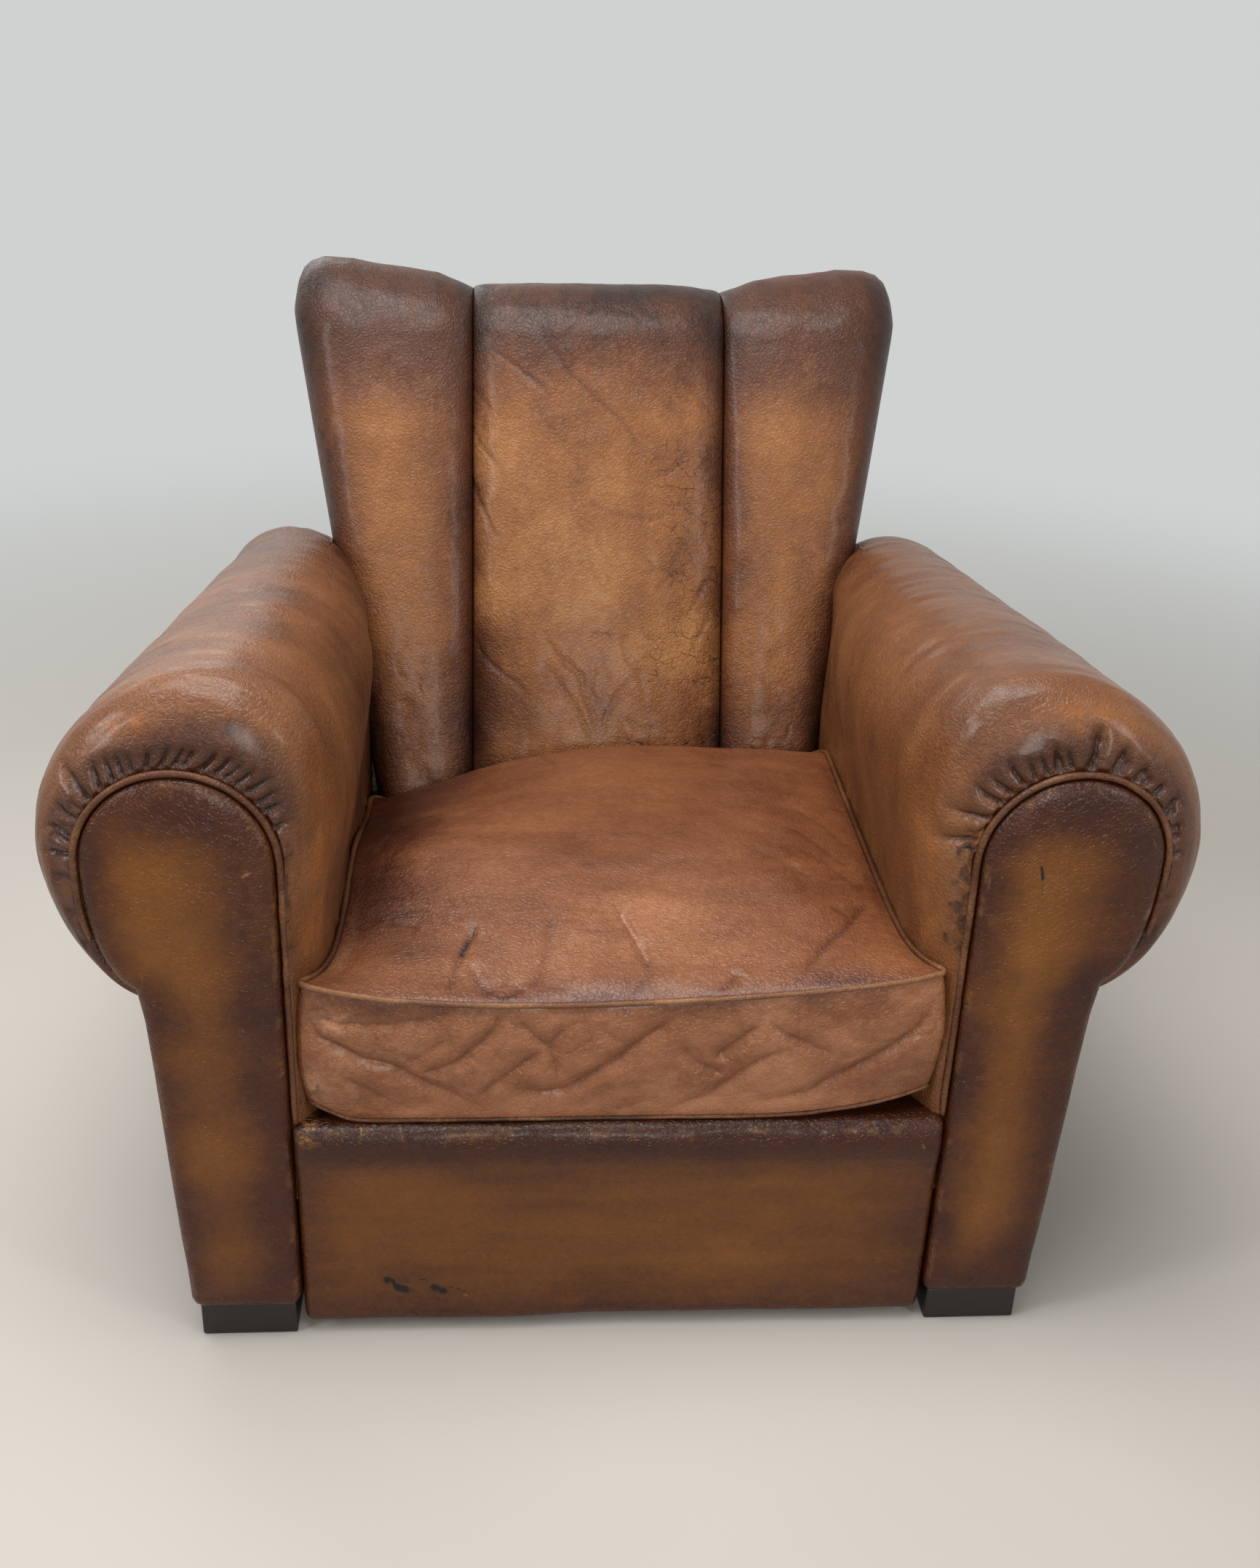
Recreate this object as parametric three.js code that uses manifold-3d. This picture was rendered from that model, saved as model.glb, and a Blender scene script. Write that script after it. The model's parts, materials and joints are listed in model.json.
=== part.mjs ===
// A worn leather club chair: hardwood frame, webbing, coil springs, stuffed arms with
// gathered fronts, a three-channel flared back and a loose seat cushion.
// Millimetres, +Z up, +Y towards the back. Y = 0 is the plane of the arm fronts.

import * as THREE from 'three';
import { mergeVertices } from 'three/addons/utils/BufferGeometryUtils.js';
import Module from 'manifold-3d';

const wasm = await Module();
wasm.setup();

// Clearance between pieces that touch
const gap = 0.3;

// Reach of the cutting shapes, past every piece
const wide = 700;
const tall = 1000;

// Feet
const footWidth = 85;
const footDepth = 75;
const footHeight = 36;

// Arm fronts: a leather facing over a board, with piping round it
const facingInnerX = 283.5;
const facingArcRadius = 75.8;
const facingArcHeight = 487;
const facingKneeX = 401;
const facingKneeHeight = 373;
const facingFootX = 381;
const facingCrown = 10;
const facingDepth = 30;
const facingEdgeRadius = 9;
const facingCornerWidth = 12;
const facingCornerHeight = 14;
const facingBoardThickness = 18;
const pipingRadius = 3.4;
const pipingEndHeight = 417;

// Arm rolls: a cone that tapers to the back, full behind its gathered front
const rollCentreX = 330;
const rollCentreHeight = 488;
const rollFrontRadius = 146;
const rollBackRadius = 62;
const rollFull = 55;
const rollTaperEnd = 660;
const rollRise = 9;
const gatherFront = 4;
const gatherCount = 15;
const gatherDepth = 4.2;
const armBulgeX = 228.5;
const armBulgeBackX = 262;
const armBulgeRise = 26;
const armFaceX = 247.5;
const armFaceTop = 372;
const armFaceFill = 30;

// Room round the wings where the arms tuck in
const tuckRoom = 1.2;

// Outside arm panels: they lean out with height and run in towards the back
const panelBaseX = 378.5;
const panelLean = 0.0484;
const panelRunIn = 0.034;
const panelThickness = 5;

// Frame timber
const railThickness = 30;
const railHeight = 100;
const sideRailThickness = 35;
const armPostSize = 45;
const armRailThickness = 22;
const armSlotOuterX = 362;
const armSlotInnerX = 297;
const armSlotRise = 7;
const backBoardThickness = 28;
const backBoardOuterX = 285;
const topRailHeight = 45;
const stayRailHeight = 40;
const stayRailBase = 243;
const cornerBlockLeg = 50;
const cornerBlockHeight = 55;
const cornerBlockRise = 12;
const edgeBoardThickness = 20;
const edgeBoardRise = 8;
const backHollowBase = 150;

// Seat suspension
const webbingThickness = 1.8;
const webbingWidth = 55;
const springWire = 2;
const springRadius = 38;
const springWaist = 28;
const springTurns = 3.5;
const springPitchX = 150;
const springPitchY = 150;
const springFirstY = 130;
const springRows = 3;
const stepsPerTurn = 8;
const hessianThickness = 2;
const deckThickness = 36;
const dustCoverThickness = 1;

// Apron: the front panel with its padded nosing
const apronSideGap = 0.8;
const apronBottom = 11;
const apronTop = 235;
const apronBack = 20;
const apronNose = 13;
const apronNoseDepth = 45;
const apronCorner = 14;

// Seat cushion
const cushionFront = -3;
const cushionEdgeTop = 362;
const cushionCrown = 24;
const cushionSideGap = 3;
const welt = 3;
const weltProud = 1;
const weltTurn = 8;
const weltBackTurn = 20;

// Back: three channels that roll over the top
const insideBackY = 520;
const insideBackHeight = 360;
const insideBackRake = 0.4;
const outsideBackY = 700;
const outsideBackRake = 0.17;
const outsideBackThickness = 5;
const armTuck = 1.5;
const backTop = 798;
const padThickness = 54;
const flapThickness = 15;
const flapDrop = 40;
const seamX = 136;
const wingX = 294;
const wingHeight = 576;
const wingFlare = 0.1856;
const wingFlareTop = 775;
const wingCornerWidth = 52;
const centreBulge = 34;
const centreTopBulge = 8;
const wingBulge = 32;
const wingTopBulge = 27;
const wingCornerDrop = 34;

// Heights and depths that follow from the sizes above
const baseZ = footHeight + gap;
const longWebbingZ = baseZ + dustCoverThickness + gap;
const crossWebbingZ = longWebbingZ + webbingThickness + gap;
const railBase = crossWebbingZ + webbingThickness + gap;
const railTop = railBase + railHeight;
const boardFront = apronBack + gap;
const boardBack = boardFront + facingBoardThickness;
const frontRailFront = apronBack + gap;
const frontRailBack = frontRailFront + railThickness;
const armPadBase = railTop + gap;
const facingArcX = facingInnerX + facingArcRadius;
const facingPipingOffset = pipingRadius + gap;
const armRingOffset = 2 * pipingRadius + gap;
const deckTop = apronTop;
const apronHalfWidth = facingInnerX - apronSideGap;
const weltRoom = welt + gap + 0.5;
const cushionBase = deckTop + gap + weltProud;
const deckBottom = deckTop - deckThickness;
const deckHalf = armFaceX - gap - 0.2;
const edgeBoardTop = deckBottom + edgeBoardRise;

// Materials
const leather = (hex, roughness) => new THREE.MeshStandardMaterial({ color: hex, roughness, metalness: 0 });
const facingLeather = leather('#7a4a22', 0.38);
const armLeather = leather('#8a5531', 0.42);
const backLeather = leather('#8f5c33', 0.42);
const seatLeather = leather('#7a4428', 0.44);
const pipingLeather = leather('#9a6a42', 0.5);
const darkWood = leather('#2a1a14', 0.45);
const beech = leather('#b08a5a', 0.7);
const jute = leather('#a58c62', 0.95);
const blackCloth = leather('#1c1a19', 0.95);
const springSteel = new THREE.MeshStandardMaterial({ color: '#6d6a66', roughness: 0.5, metalness: 0.9 });

const chair = new THREE.Group();

function lerp(a, b, t) {
  return a + (b - a) * t;
}

function clamp01(t) {
  return Math.min(1, Math.max(0, t));
}

function smooth(t) {
  const s = clamp01(t);
  return s * s * (3 - 2 * s);
}

// A closed geometry from points and triangles, turned so that its faces point out
function closedGeometry(points, triangles) {
  let volume = 0;
  for (let i = 0; i < triangles.length; i += 3) {
    const a = points[triangles[i]];
    const b = points[triangles[i + 1]];
    const c = points[triangles[i + 2]];
    volume += a.dot(new THREE.Vector3().crossVectors(b, c));
  }
  const faces = volume < 0 ? [...triangles].reverse() : triangles;
  const geometry = new THREE.BufferGeometry().setFromPoints(points);
  geometry.setIndex(faces);
  return geometry;
}

// The triangles of a geometry after its shared corners are merged
function weld(geometry) {
  const bare = geometry.clone();
  bare.deleteAttribute('normal');
  bare.deleteAttribute('uv');
  return mergeVertices(bare, 1e-4);
}

function toSolid(geometry) {
  const merged = weld(geometry);
  const mesh = new wasm.Mesh({
    numProp: 3,
    vertProperties: new Float32Array(merged.attributes.position.array),
    triVerts: new Uint32Array(merged.index.array),
  });
  return new wasm.Manifold(mesh);
}

function fromSolid(solid) {
  const mesh = solid.getMesh();
  const geometry = new THREE.BufferGeometry();
  geometry.setAttribute('position', new THREE.BufferAttribute(mesh.vertProperties, 3));
  geometry.setIndex(new THREE.BufferAttribute(mesh.triVerts, 1));
  return geometry;
}

function cut(geometry, ...tools) {
  let solid = toSolid(geometry);
  for (const tool of tools) {
    solid = solid.subtract(toSolid(tool));
  }
  return fromSolid(solid);
}

// The main body of a cut, without the crumbs that it leaves
function cutMain(geometry, ...tools) {
  const bodies = toSolid(cut(geometry, ...tools)).decompose();
  bodies.sort((a, b) => b.volume() - a.volume());
  return fromSolid(bodies[0]);
}

function common(geometry, tool) {
  return fromSolid(toSolid(geometry).intersect(toSolid(tool)));
}

// The same geometry on the other side of the mid-plane
function mirrored(geometry) {
  const merged = weld(geometry);
  const position = merged.attributes.position;
  const points = [];
  for (let i = 0; i < position.count; i += 1) {
    points.push(new THREE.Vector3(-position.getX(i), position.getY(i), position.getZ(i)));
  }
  return closedGeometry(points, Array.from(merged.index.array));
}

// A box given by its lowest and highest corner
function block(x0, x1, y0, y1, z0, z1) {
  const geometry = new THREE.BoxGeometry(x1 - x0, y1 - y0, z1 - z0);
  geometry.translate((x0 + x1) / 2, (y0 + y1) / 2, (z0 + z1) / 2);
  return geometry;
}

// A shape of X and Z carried along Y
function alongY(shape, y0, y1, options = {}) {
  const geometry = new THREE.ExtrudeGeometry(shape, { depth: y1 - y0, bevelEnabled: false, ...options });
  const turn = new THREE.Matrix4().makeBasis(
    new THREE.Vector3(1, 0, 0), new THREE.Vector3(0, 0, 1), new THREE.Vector3(0, -1, 0));
  geometry.applyMatrix4(turn);
  geometry.translate(0, y1, 0);
  return geometry;
}

// A shape of Y and Z carried along X
function alongX(shape, x0, x1) {
  const geometry = new THREE.ExtrudeGeometry(shape, { depth: x1 - x0, bevelEnabled: false });
  const turn = new THREE.Matrix4().makeBasis(
    new THREE.Vector3(0, 1, 0), new THREE.Vector3(0, 0, 1), new THREE.Vector3(1, 0, 0));
  geometry.applyMatrix4(turn);
  geometry.translate(x0, 0, 0);
  return geometry;
}

function polygon(pairs) {
  return new THREE.Shape(pairs.map(([a, b]) => new THREE.Vector2(a, b)));
}

// A round cord with a ring at each of its points, turned along its path, and flat ends
function cord(path, radius, sides) {
  const points = [];
  const triangles = [];
  let across = new THREE.Vector3(0, 0, 0);
  path.forEach((p, k) => {
    const before = path[Math.max(k - 1, 0)];
    const after = path[Math.min(k + 1, path.length - 1)];
    const along = after.clone().sub(before).normalize();
    if (k === 0) across = Math.abs(along.y) < 0.9 ? new THREE.Vector3(0, 1, 0) : new THREE.Vector3(0, 0, 1);
    across = across.sub(along.clone().multiplyScalar(across.dot(along))).normalize();
    const other = along.clone().cross(across);
    for (let i = 0; i < sides; i += 1) {
      const angle = (2 * Math.PI * (i + 0.5)) / sides;
      const corner = p.clone().addScaledVector(across, radius * Math.cos(angle));
      points.push(corner.addScaledVector(other, radius * Math.sin(angle)));
    }
    if (k === 0) return;
    const a = (k - 1) * sides;
    for (let i = 0; i < sides; i += 1) {
      const j = (i + 1) % sides;
      triangles.push(a + i, a + j, a + j + sides, a + i, a + j + sides, a + i + sides);
    }
  });
  const last = (path.length - 1) * sides;
  for (let i = 1; i + 1 < sides; i += 1) {
    triangles.push(0, i + 1, i, last, last + i, last + i + 1);
  }
  return closedGeometry(points, triangles);
}

// A solid through rings of equal point counts; flatten gives a ring's outline for its end face
function loft(rings, flatten) {
  const count = rings[0].length;
  const points = rings.flat();
  const triangles = [];
  for (let r = 0; r + 1 < rings.length; r += 1) {
    for (let i = 0; i < count; i += 1) {
      const j = (i + 1) % count;
      const a = r * count + i;
      const b = r * count + j;
      triangles.push(a, b, b + count, a, b + count, a + count);
    }
  }
  const last = (rings.length - 1) * count;
  const outline = (ring) => ring.map(flatten);
  const area = THREE.ShapeUtils.area(outline(rings[0]));
  for (const [a, b, c] of THREE.ShapeUtils.triangulateShape(outline(rings[0]), [])) {
    triangles.push(...(area > 0 ? [c, b, a] : [a, b, c]));
  }
  for (const [a, b, c] of THREE.ShapeUtils.triangulateShape(outline(rings[rings.length - 1]), [])) {
    triangles.push(...(area > 0 ? [a, b, c] : [c, b, a]).map((k) => k + last));
  }
  return closedGeometry(points, triangles);
}

// A closed slab between two surfaces given on the same grid of u and v from 0 to 1
function slab(front, back, nu, nv) {
  const points = [];
  for (const surface of [front, back]) {
    for (let i = 0; i <= nu; i += 1) {
      for (let j = 0; j <= nv; j += 1) {
        points.push(surface(i / nu, j / nv));
      }
    }
  }
  const row = nv + 1;
  const half = (nu + 1) * row;
  const triangles = [];
  const quad = (a, b, c, d) => triangles.push(a, b, c, a, c, d);
  for (let i = 0; i < nu; i += 1) {
    for (let j = 0; j < nv; j += 1) {
      const k = i * row + j;
      quad(k, k + 1, k + row + 1, k + row);
      quad(k + half, k + half + row, k + half + row + 1, k + half + 1);
    }
  }
  for (let i = 0; i < nu; i += 1) {
    const k = i * row;
    const m = k + nv;
    quad(k, k + row, k + row + half, k + half);
    quad(m, m + half, m + half + row, m + row);
  }
  for (let j = 0; j < nv; j += 1) {
    const m = nu * row + j;
    quad(j, j + half, j + half + 1, j + 1);
    quad(m, m + 1, m + 1 + half, m + half);
  }
  return closedGeometry(points, triangles);
}

function add(name, geometry, material) {
  const mesh = new THREE.Mesh(geometry, material);
  mesh.name = name;
  chair.add(mesh);
}

// A piece of the right side and its mirror image on the left
function addPair(name, geometry, material) {
  add(`${name}_right`, geometry, material);
  add(`${name}_left`, mirrored(geometry), material);
}

// Planes of the back
function insideBack(z) {
  return insideBackY + insideBackRake * (z - insideBackHeight);
}

function padRear(z) {
  return insideBack(z) + padThickness;
}

function outsideBack(z) {
  return outsideBackY + outsideBackRake * (z - baseZ);
}

function frameRear(z) {
  return outsideBack(z) - outsideBackThickness - gap;
}

// The head roll touches the inside plane and the frame's rear plane
const insideSlope = Math.hypot(1, insideBackRake);
const outsideSlope = Math.hypot(1, outsideBackRake);
const rakeDifference = insideBackRake - outsideBackRake;
const headSpan = frameRear(backTop) - insideBack(backTop);
const headRadius = headSpan / (insideSlope + outsideSlope - rakeDifference);
const headZ = backTop - headRadius;
const headY = insideBack(headZ) + headRadius * insideSlope;
const flapEnd = headZ - flapDrop;

function wingEdge(z) {
  return wingX + wingFlare * (z - wingHeight);
}

// Surface of the outside arm panel
function panelX(y, z) {
  return panelBaseX + panelLean * (z - baseZ) - panelRunIn * y;
}

// The arm roll's circle at a depth
function roll(y) {
  const t = (y - rollFull) / (rollTaperEnd - rollFull);
  const capped = Math.min(t, 1);
  return {
    x: rollCentreX,
    z: rollCentreHeight + rollRise * clamp01(t),
    r: lerp(rollFrontRadius, rollBackRadius, capped),
  };
}

// Where the roll's underside meets the outside arm panel
function crease(y) {
  const { x, z, r } = roll(y);
  const edge = panelX(y, z - 0.8 * r);
  return { x: edge, z: z - Math.sqrt(r * r - (edge - x) ** 2) };
}

const armBack = outsideBack(rollCentreHeight + rollBackRadius) + 10;
const armSlotTop = crease(armBack).z + armSlotRise;
const armRailTop = armSlotTop - gap;
const armRailBase = armRailTop - armRailThickness;

// Outer outline of an arm front from its knee to the side of the arc, moved out by an offset:
// a cubic curve of X and Z that flares out of the knee and ends upright
const facingSideX = facingArcX + facingArcRadius;
const outerFrontCurve = new THREE.CubicBezierCurve(
  new THREE.Vector2(facingKneeX, facingKneeHeight),
  new THREE.Vector2(lerp(facingKneeX, facingSideX, 0.56), lerp(facingKneeHeight, facingArcHeight, 0.09)),
  new THREE.Vector2(facingSideX + 1, lerp(facingKneeHeight, facingArcHeight, 0.41)),
  new THREE.Vector2(facingSideX, facingArcHeight));

function outerFront(offset, count) {
  const points = [];
  for (let i = 0; i <= count; i += 1) {
    const p = outerFrontCurve.getPointAt(i / count);
    const along = outerFrontCurve.getTangentAt(i / count);
    points.push(new THREE.Vector2(p.x + offset * along.y, p.y - offset * along.x));
  }
  return points;
}

function arcPoint(offset, angle) {
  const r = facingArcRadius + offset;
  return new THREE.Vector2(facingArcX + r * Math.cos(angle), facingArcHeight + r * Math.sin(angle));
}

// Outline of an arm front, grown by an offset; the foot end is cut at a height
function frontShape(offset, footZ) {
  const shape = new THREE.Shape();
  const foot = facingFootX + offset;
  const inner = facingInnerX - offset;
  shape.moveTo(inner, footZ);
  shape.lineTo(foot - facingCornerWidth, footZ);
  shape.quadraticCurveTo(foot, footZ, foot + 0.6, footZ + facingCornerHeight);
  for (const p of outerFront(offset, 10)) {
    shape.lineTo(p.x, p.y);
  }
  for (let i = 1; i <= 16; i += 1) {
    const p = arcPoint(offset, (Math.PI * i) / 16);
    shape.lineTo(p.x, p.y);
  }
  shape.closePath();
  return shape;
}

// Facings, boards and piping
const facing = alongY(frontShape(0, baseZ), -facingCrown + facingEdgeRadius, facingDepth - facingCrown, {
  bevelEnabled: true,
  bevelSize: facingEdgeRadius,
  bevelOffset: -facingEdgeRadius,
  bevelThickness: facingEdgeRadius,
  bevelSegments: 2,
  curveSegments: 6,
});
const facingClip = block(0, wide, -wide, facingDepth - facingCrown, 0, tall);
addPair('facing', common(facing, facingClip), facingLeather);
addPair('facing_board', alongY(frontShape(-1, baseZ), boardFront, boardBack, { curveSegments: 4 }), beech);

function pipingPath() {
  const points = [];
  const inner = facingInnerX - facingPipingOffset;
  for (const z of [apronTop + gap, 340]) {
    points.push(new THREE.Vector3(inner, 0, z));
  }
  for (let i = 16; i >= 0; i -= 1) {
    const p = arcPoint(facingPipingOffset, (Math.PI * i) / 16);
    points.push(new THREE.Vector3(p.x, 0, p.y));
  }
  for (const p of outerFront(facingPipingOffset, 10).reverse().slice(1)) {
    if (p.y > pipingEndHeight) points.push(new THREE.Vector3(p.x, 0, p.y));
  }
  return points;
}
addPair('facing_piping', cord(pipingPath(), pipingRadius, 5), pipingLeather);

// Contour of the front end of the arm pad, next to the piping, and of the full arm at a depth.
// Both run from the outer crease over the top and down the inner face with the same points.
const creaseSteps = 5;
const stepsPerGather = 3;
const archSteps = 24;
const bulgeSteps = 6;

function frontContour() {
  const points = [];
  const lowSteps = creaseSteps + stepsPerGather;
  points.push(...outerFront(armRingOffset, lowSteps).slice(0, lowSteps));
  for (let i = 0; i < 2 * archSteps; i += 1) {
    points.push(arcPoint(armRingOffset, (Math.PI * i) / (2 * archSteps)));
  }
  const inner = facingInnerX - armRingOffset;
  for (let i = 0; i <= bulgeSteps; i += 1) {
    points.push(new THREE.Vector2(inner, lerp(facingArcHeight, armFaceTop, i / bulgeSteps)));
  }
  points.push(new THREE.Vector2(inner, armPadBase));
  return points;
}

function innerBulgeX(y) {
  return lerp(armBulgeX, armBulgeBackX, smooth((y - 330) / 300));
}

function armContour(y) {
  const { x, z, r } = roll(y);
  const low = crease(y);
  const start = Math.atan2(low.z - z, low.x - x);
  const bulgeZ = z + armBulgeRise * (r / rollFrontRadius);
  const bulgeX = innerBulgeX(y);
  const points = [];
  const lowSteps = creaseSteps + stepsPerGather;
  for (let i = 0; i < lowSteps; i += 1) {
    const angle = start * (1 - i / lowSteps);
    points.push(new THREE.Vector2(x + r * Math.cos(angle), z + r * Math.sin(angle)));
  }
  for (let i = 0; i < archSteps; i += 1) {
    const angle = (Math.PI * i) / (2 * archSteps);
    points.push(new THREE.Vector2(x + r * Math.cos(angle), z + r * Math.sin(angle)));
  }
  for (let i = 0; i < archSteps; i += 1) {
    const angle = (Math.PI * i) / (2 * archSteps);
    const across = (x - bulgeX) * Math.sin(angle);
    points.push(new THREE.Vector2(x - across, bulgeZ + (z + r - bulgeZ) * Math.cos(angle)));
  }
  for (let i = 0; i <= bulgeSteps; i += 1) {
    const t = i / bulgeSteps;
    points.push(new THREE.Vector2(lerp(bulgeX, armFaceX, smooth(t)), lerp(bulgeZ, armFaceTop, t)));
  }
  points.push(new THREE.Vector2(armFaceX, armPadBase));
  return points;
}

// Height of the gathers at a contour step: a sharp valley between rounded ridges
function gatherProfile(step) {
  const place = step - creaseSteps;
  const gather = Math.floor(place / stepsPerGather);
  if (place < 0 || gather > gatherCount) return 0;
  const valley = [-1, 0.5, 0.5][place % stepsPerGather];
  return valley * (0.75 + 0.25 * Math.sin(2.4 * gather));
}

function gatherFade(y) {
  const front = smooth((y - gatherFront) / 5);
  return front * (1 - smooth((y - 18) / 85));
}

// How far the arm has filled out from its front: quickly over the roll, slowly down the inner face
function rollShare(y) {
  const t = clamp01((y - gatherFront) / (rollFull - gatherFront));
  return Math.sqrt(1 - (1 - t) ** 2);
}

function innerShare(y) {
  return 1 - Math.exp(-(y - gatherFront) / armFaceFill);
}

function armRing(y) {
  const front = frontContour();
  const full = armContour(y);
  const innerStart = creaseSteps + stepsPerGather + 1.4 * archSteps;
  const ring = full.map((p, i) => {
    const q = front[i];
    const share = lerp(rollShare(y), innerShare(y), smooth((i - innerStart) / (0.6 * archSteps)));
    const x = lerp(q.x, p.x, share);
    const z = lerp(q.y, p.y, share);
    const out = new THREE.Vector2(x - facingArcX, z - facingArcHeight).normalize();
    const lift = gatherDepth * gatherProfile(i) * gatherFade(y);
    return new THREE.Vector3(x + lift * share * out.x, y - lift * (1 - share), z + lift * share * out.y);
  });
  const crown = ring[0].z;
  ring.push(new THREE.Vector3(armSlotInnerX, y, armPadBase));
  ring.push(new THREE.Vector3(armSlotInnerX, y, armSlotTop));
  ring.push(new THREE.Vector3(armSlotOuterX, y, armSlotTop));
  ring.push(new THREE.Vector3(armSlotOuterX, y, Math.min(crown, armSlotTop - 1)));
  return ring;
}

const gatherStations = [0, 1, 2, 3, 4, 5].map((k) => {
  return gatherFront + (rollFull - gatherFront) * (1 - Math.cos((k * Math.PI) / 10));
});
const rollStations = [75, 103, 170, 280, 400, 530, rollTaperEnd, armBack];
const armRings = [...gatherStations, ...rollStations].map(armRing);
const armLoft = loft(armRings, (p) => new THREE.Vector2(p.x, p.z));

// One channel of the back: rings of Y and Z carried across it, full block without its hollow
function bulgeAt(distance, width) {
  return Math.sqrt(1 - (1 - clamp01(distance / width)) ** 2);
}

const headStart = Math.PI - Math.atan(insideBackRake);
const headEnd = -Math.atan(outsideBackRake);
const channelBase = deckTop + gap;
const channelBack = flapEnd;

function channelRing(place, front, top, drop, grow) {
  const ring = [];
  const frontEnd = headZ + headRadius * Math.sin(headStart);
  for (let i = 0; i < 9; i += 1) {
    const z = lerp(channelBase - grow, frontEnd, i / 9);
    const swell = front * (0.75 + 0.25 * Math.sin(Math.PI * clamp01(i / 9)));
    const y = insideBack(z) - swell + drop - grow;
    ring.push(place(y, z));
  }
  for (let i = 0; i <= 9; i += 1) {
    const t = i / 9;
    const angle = lerp(headStart, headEnd, t);
    const swell = t < 0.5 ? lerp(0.75 * front - drop, top, smooth(2 * t)) : lerp(top, 0, smooth(2 * t - 1));
    const r = headRadius + Math.min(swell, lerp(99, 0, smooth(2 * t - 1))) + grow;
    ring.push(place(headY + r * Math.cos(angle), headZ + r * Math.sin(angle)));
  }
  ring.push(place(frameRear(channelBack) + grow, channelBack));
  ring.push(place(frameRear(channelBase) + grow, channelBase - grow));
  return ring;
}

function wingBlock(grow) {
  const shares = [0, 0.05, 0.14, 0.28, 0.44, 0.6, 0.72, 0.82, 0.9, 0.96, 1];
  const inner = seamX + gap / 2;
  const rings = shares.map((share) => {
    const place = (y, z) => {
      const edge = wingEdge(Math.min(z, wingFlareTop)) + grow;
      return new THREE.Vector3(lerp(inner - grow, edge, share), y, z);
    };
    const width = wingEdge(wingHeight) - inner;
    const fromSeam = bulgeAt(share * width, 60);
    const fromEdge = 1 - bulgeAt((1 - share) * width, wingCornerWidth);
    const swell = wingBulge * fromSeam;
    const crown = wingTopBulge * fromSeam - wingCornerDrop * fromEdge;
    return channelRing(place, swell, crown, (wingBulge + wingCornerDrop) * fromEdge, grow);
  });
  return loft(rings, (p) => new THREE.Vector2(p.y, p.z));
}

function centreBlock() {
  const shares = [0, 0.025, 0.08, 0.17, 0.3, 0.5, 0.7, 0.83, 0.92, 0.975, 1];
  const half = seamX - gap / 2;
  const rings = shares.map((share) => {
    const place = (y, z) => new THREE.Vector3(lerp(-half, half, share), y, z);
    const fromSeam = Math.min(bulgeAt(share * 2 * half, 100), bulgeAt((1 - share) * 2 * half, 100));
    return channelRing(place, centreBulge * fromSeam, centreTopBulge * fromSeam, 0, 0);
  });
  return loft(rings, (p) => new THREE.Vector2(p.y, p.z));
}

const hollowX = backBoardOuterX + gap;
const backHollow = alongX(polygon([
  [padRear(backHollowBase), backHollowBase],
  [padRear(headZ + gap), headZ + gap],
  [frameRear(headZ) - flapThickness, headZ + gap],
  [frameRear(flapEnd) - flapThickness, flapEnd],
  [outsideBack(flapEnd) + 200, flapEnd],
  [outsideBack(flapEnd) + 200, backHollowBase],
]), -hollowX, hollowX);
add('back_channel_centre', cut(centreBlock(), backHollow), backLeather);
addPair('back_wing', cut(wingBlock(0), backHollow), backLeather);

// Arm pads: the loft less the arm front, the apron's corner, the back and what lies behind
const frontCavity = alongY(frontShape(gap + 0.2, 0), -wide, boardBack + gap, { curveSegments: 4 });
const apronCavity = block(0, facingInnerX + 1, -wide, apronBack + gap, 0, apronTop + gap);
const backCore = alongX(polygon([
  [insideBack(0) + 10, 0],
  [insideBack(tall) + 10, tall],
  [2 * tall, tall],
  [2 * tall, 0],
]), 0, hollowX + gap);
const behindBack = alongX(polygon([
  [frameRear(0), 0],
  [frameRear(tall), tall],
  [2 * tall, tall],
  [2 * tall, 0],
]), 0, wide);
const armPad = cut(armLoft, frontCavity, apronCavity, wingBlock(tuckRoom), backCore, behindBack);
addPair('arm_pad', armPad, armLeather);

// Outside arm panels, tucked under the rolls
function panelSurface(inset) {
  return (u, v) => {
    const top = (y) => crease(y).z - gap;
    const front = boardBack + gap;
    const guess = lerp(front, frameRear(armRailBase), u);
    const z = lerp(baseZ, top(guess), v);
    const y = lerp(front, frameRear(z), u);
    return new THREE.Vector3(panelX(y, z) - inset, y, lerp(baseZ, top(y), v));
  };
}
addPair('outside_arm', slab(panelSurface(0), panelSurface(panelThickness), 8, 2), armLeather);

// Outside back: a sheet whose outline follows the arms' back ends and the flared wings
function outsideBackShape() {
  const right = [];
  const top = headZ - 2;
  right.push([panelX(outsideBack(baseZ), baseZ), baseZ]);
  const end = crease(armBack);
  right.push([end.x, end.z - 6]);
  const { x, z, r } = roll(armBack);
  const rollEdge = r - armTuck;
  const start = Math.atan2(end.z - z, end.x - x);
  for (let i = 0; i <= 8; i += 1) {
    const angle = lerp(start, Math.PI / 2, i / 8);
    right.push([x + rollEdge * Math.cos(angle), z + rollEdge * Math.sin(angle)]);
  }
  const meet = z + rollEdge;
  right.push([wingEdge(meet), meet]);
  right.push([wingEdge(top), top]);
  const left = right.map(([a, b]) => [-a, b]).reverse();
  return polygon([...right, ...left]);
}
const lean = new THREE.Matrix4().makeShear(0, 0, 0, 0, 0, outsideBackRake);
const outside = alongY(outsideBackShape(), 0, outsideBackThickness);
outside.applyMatrix4(lean);
outside.translate(0, outsideBack(0) - outsideBackThickness, 0);
add('outside_back', outside, backLeather);

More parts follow.
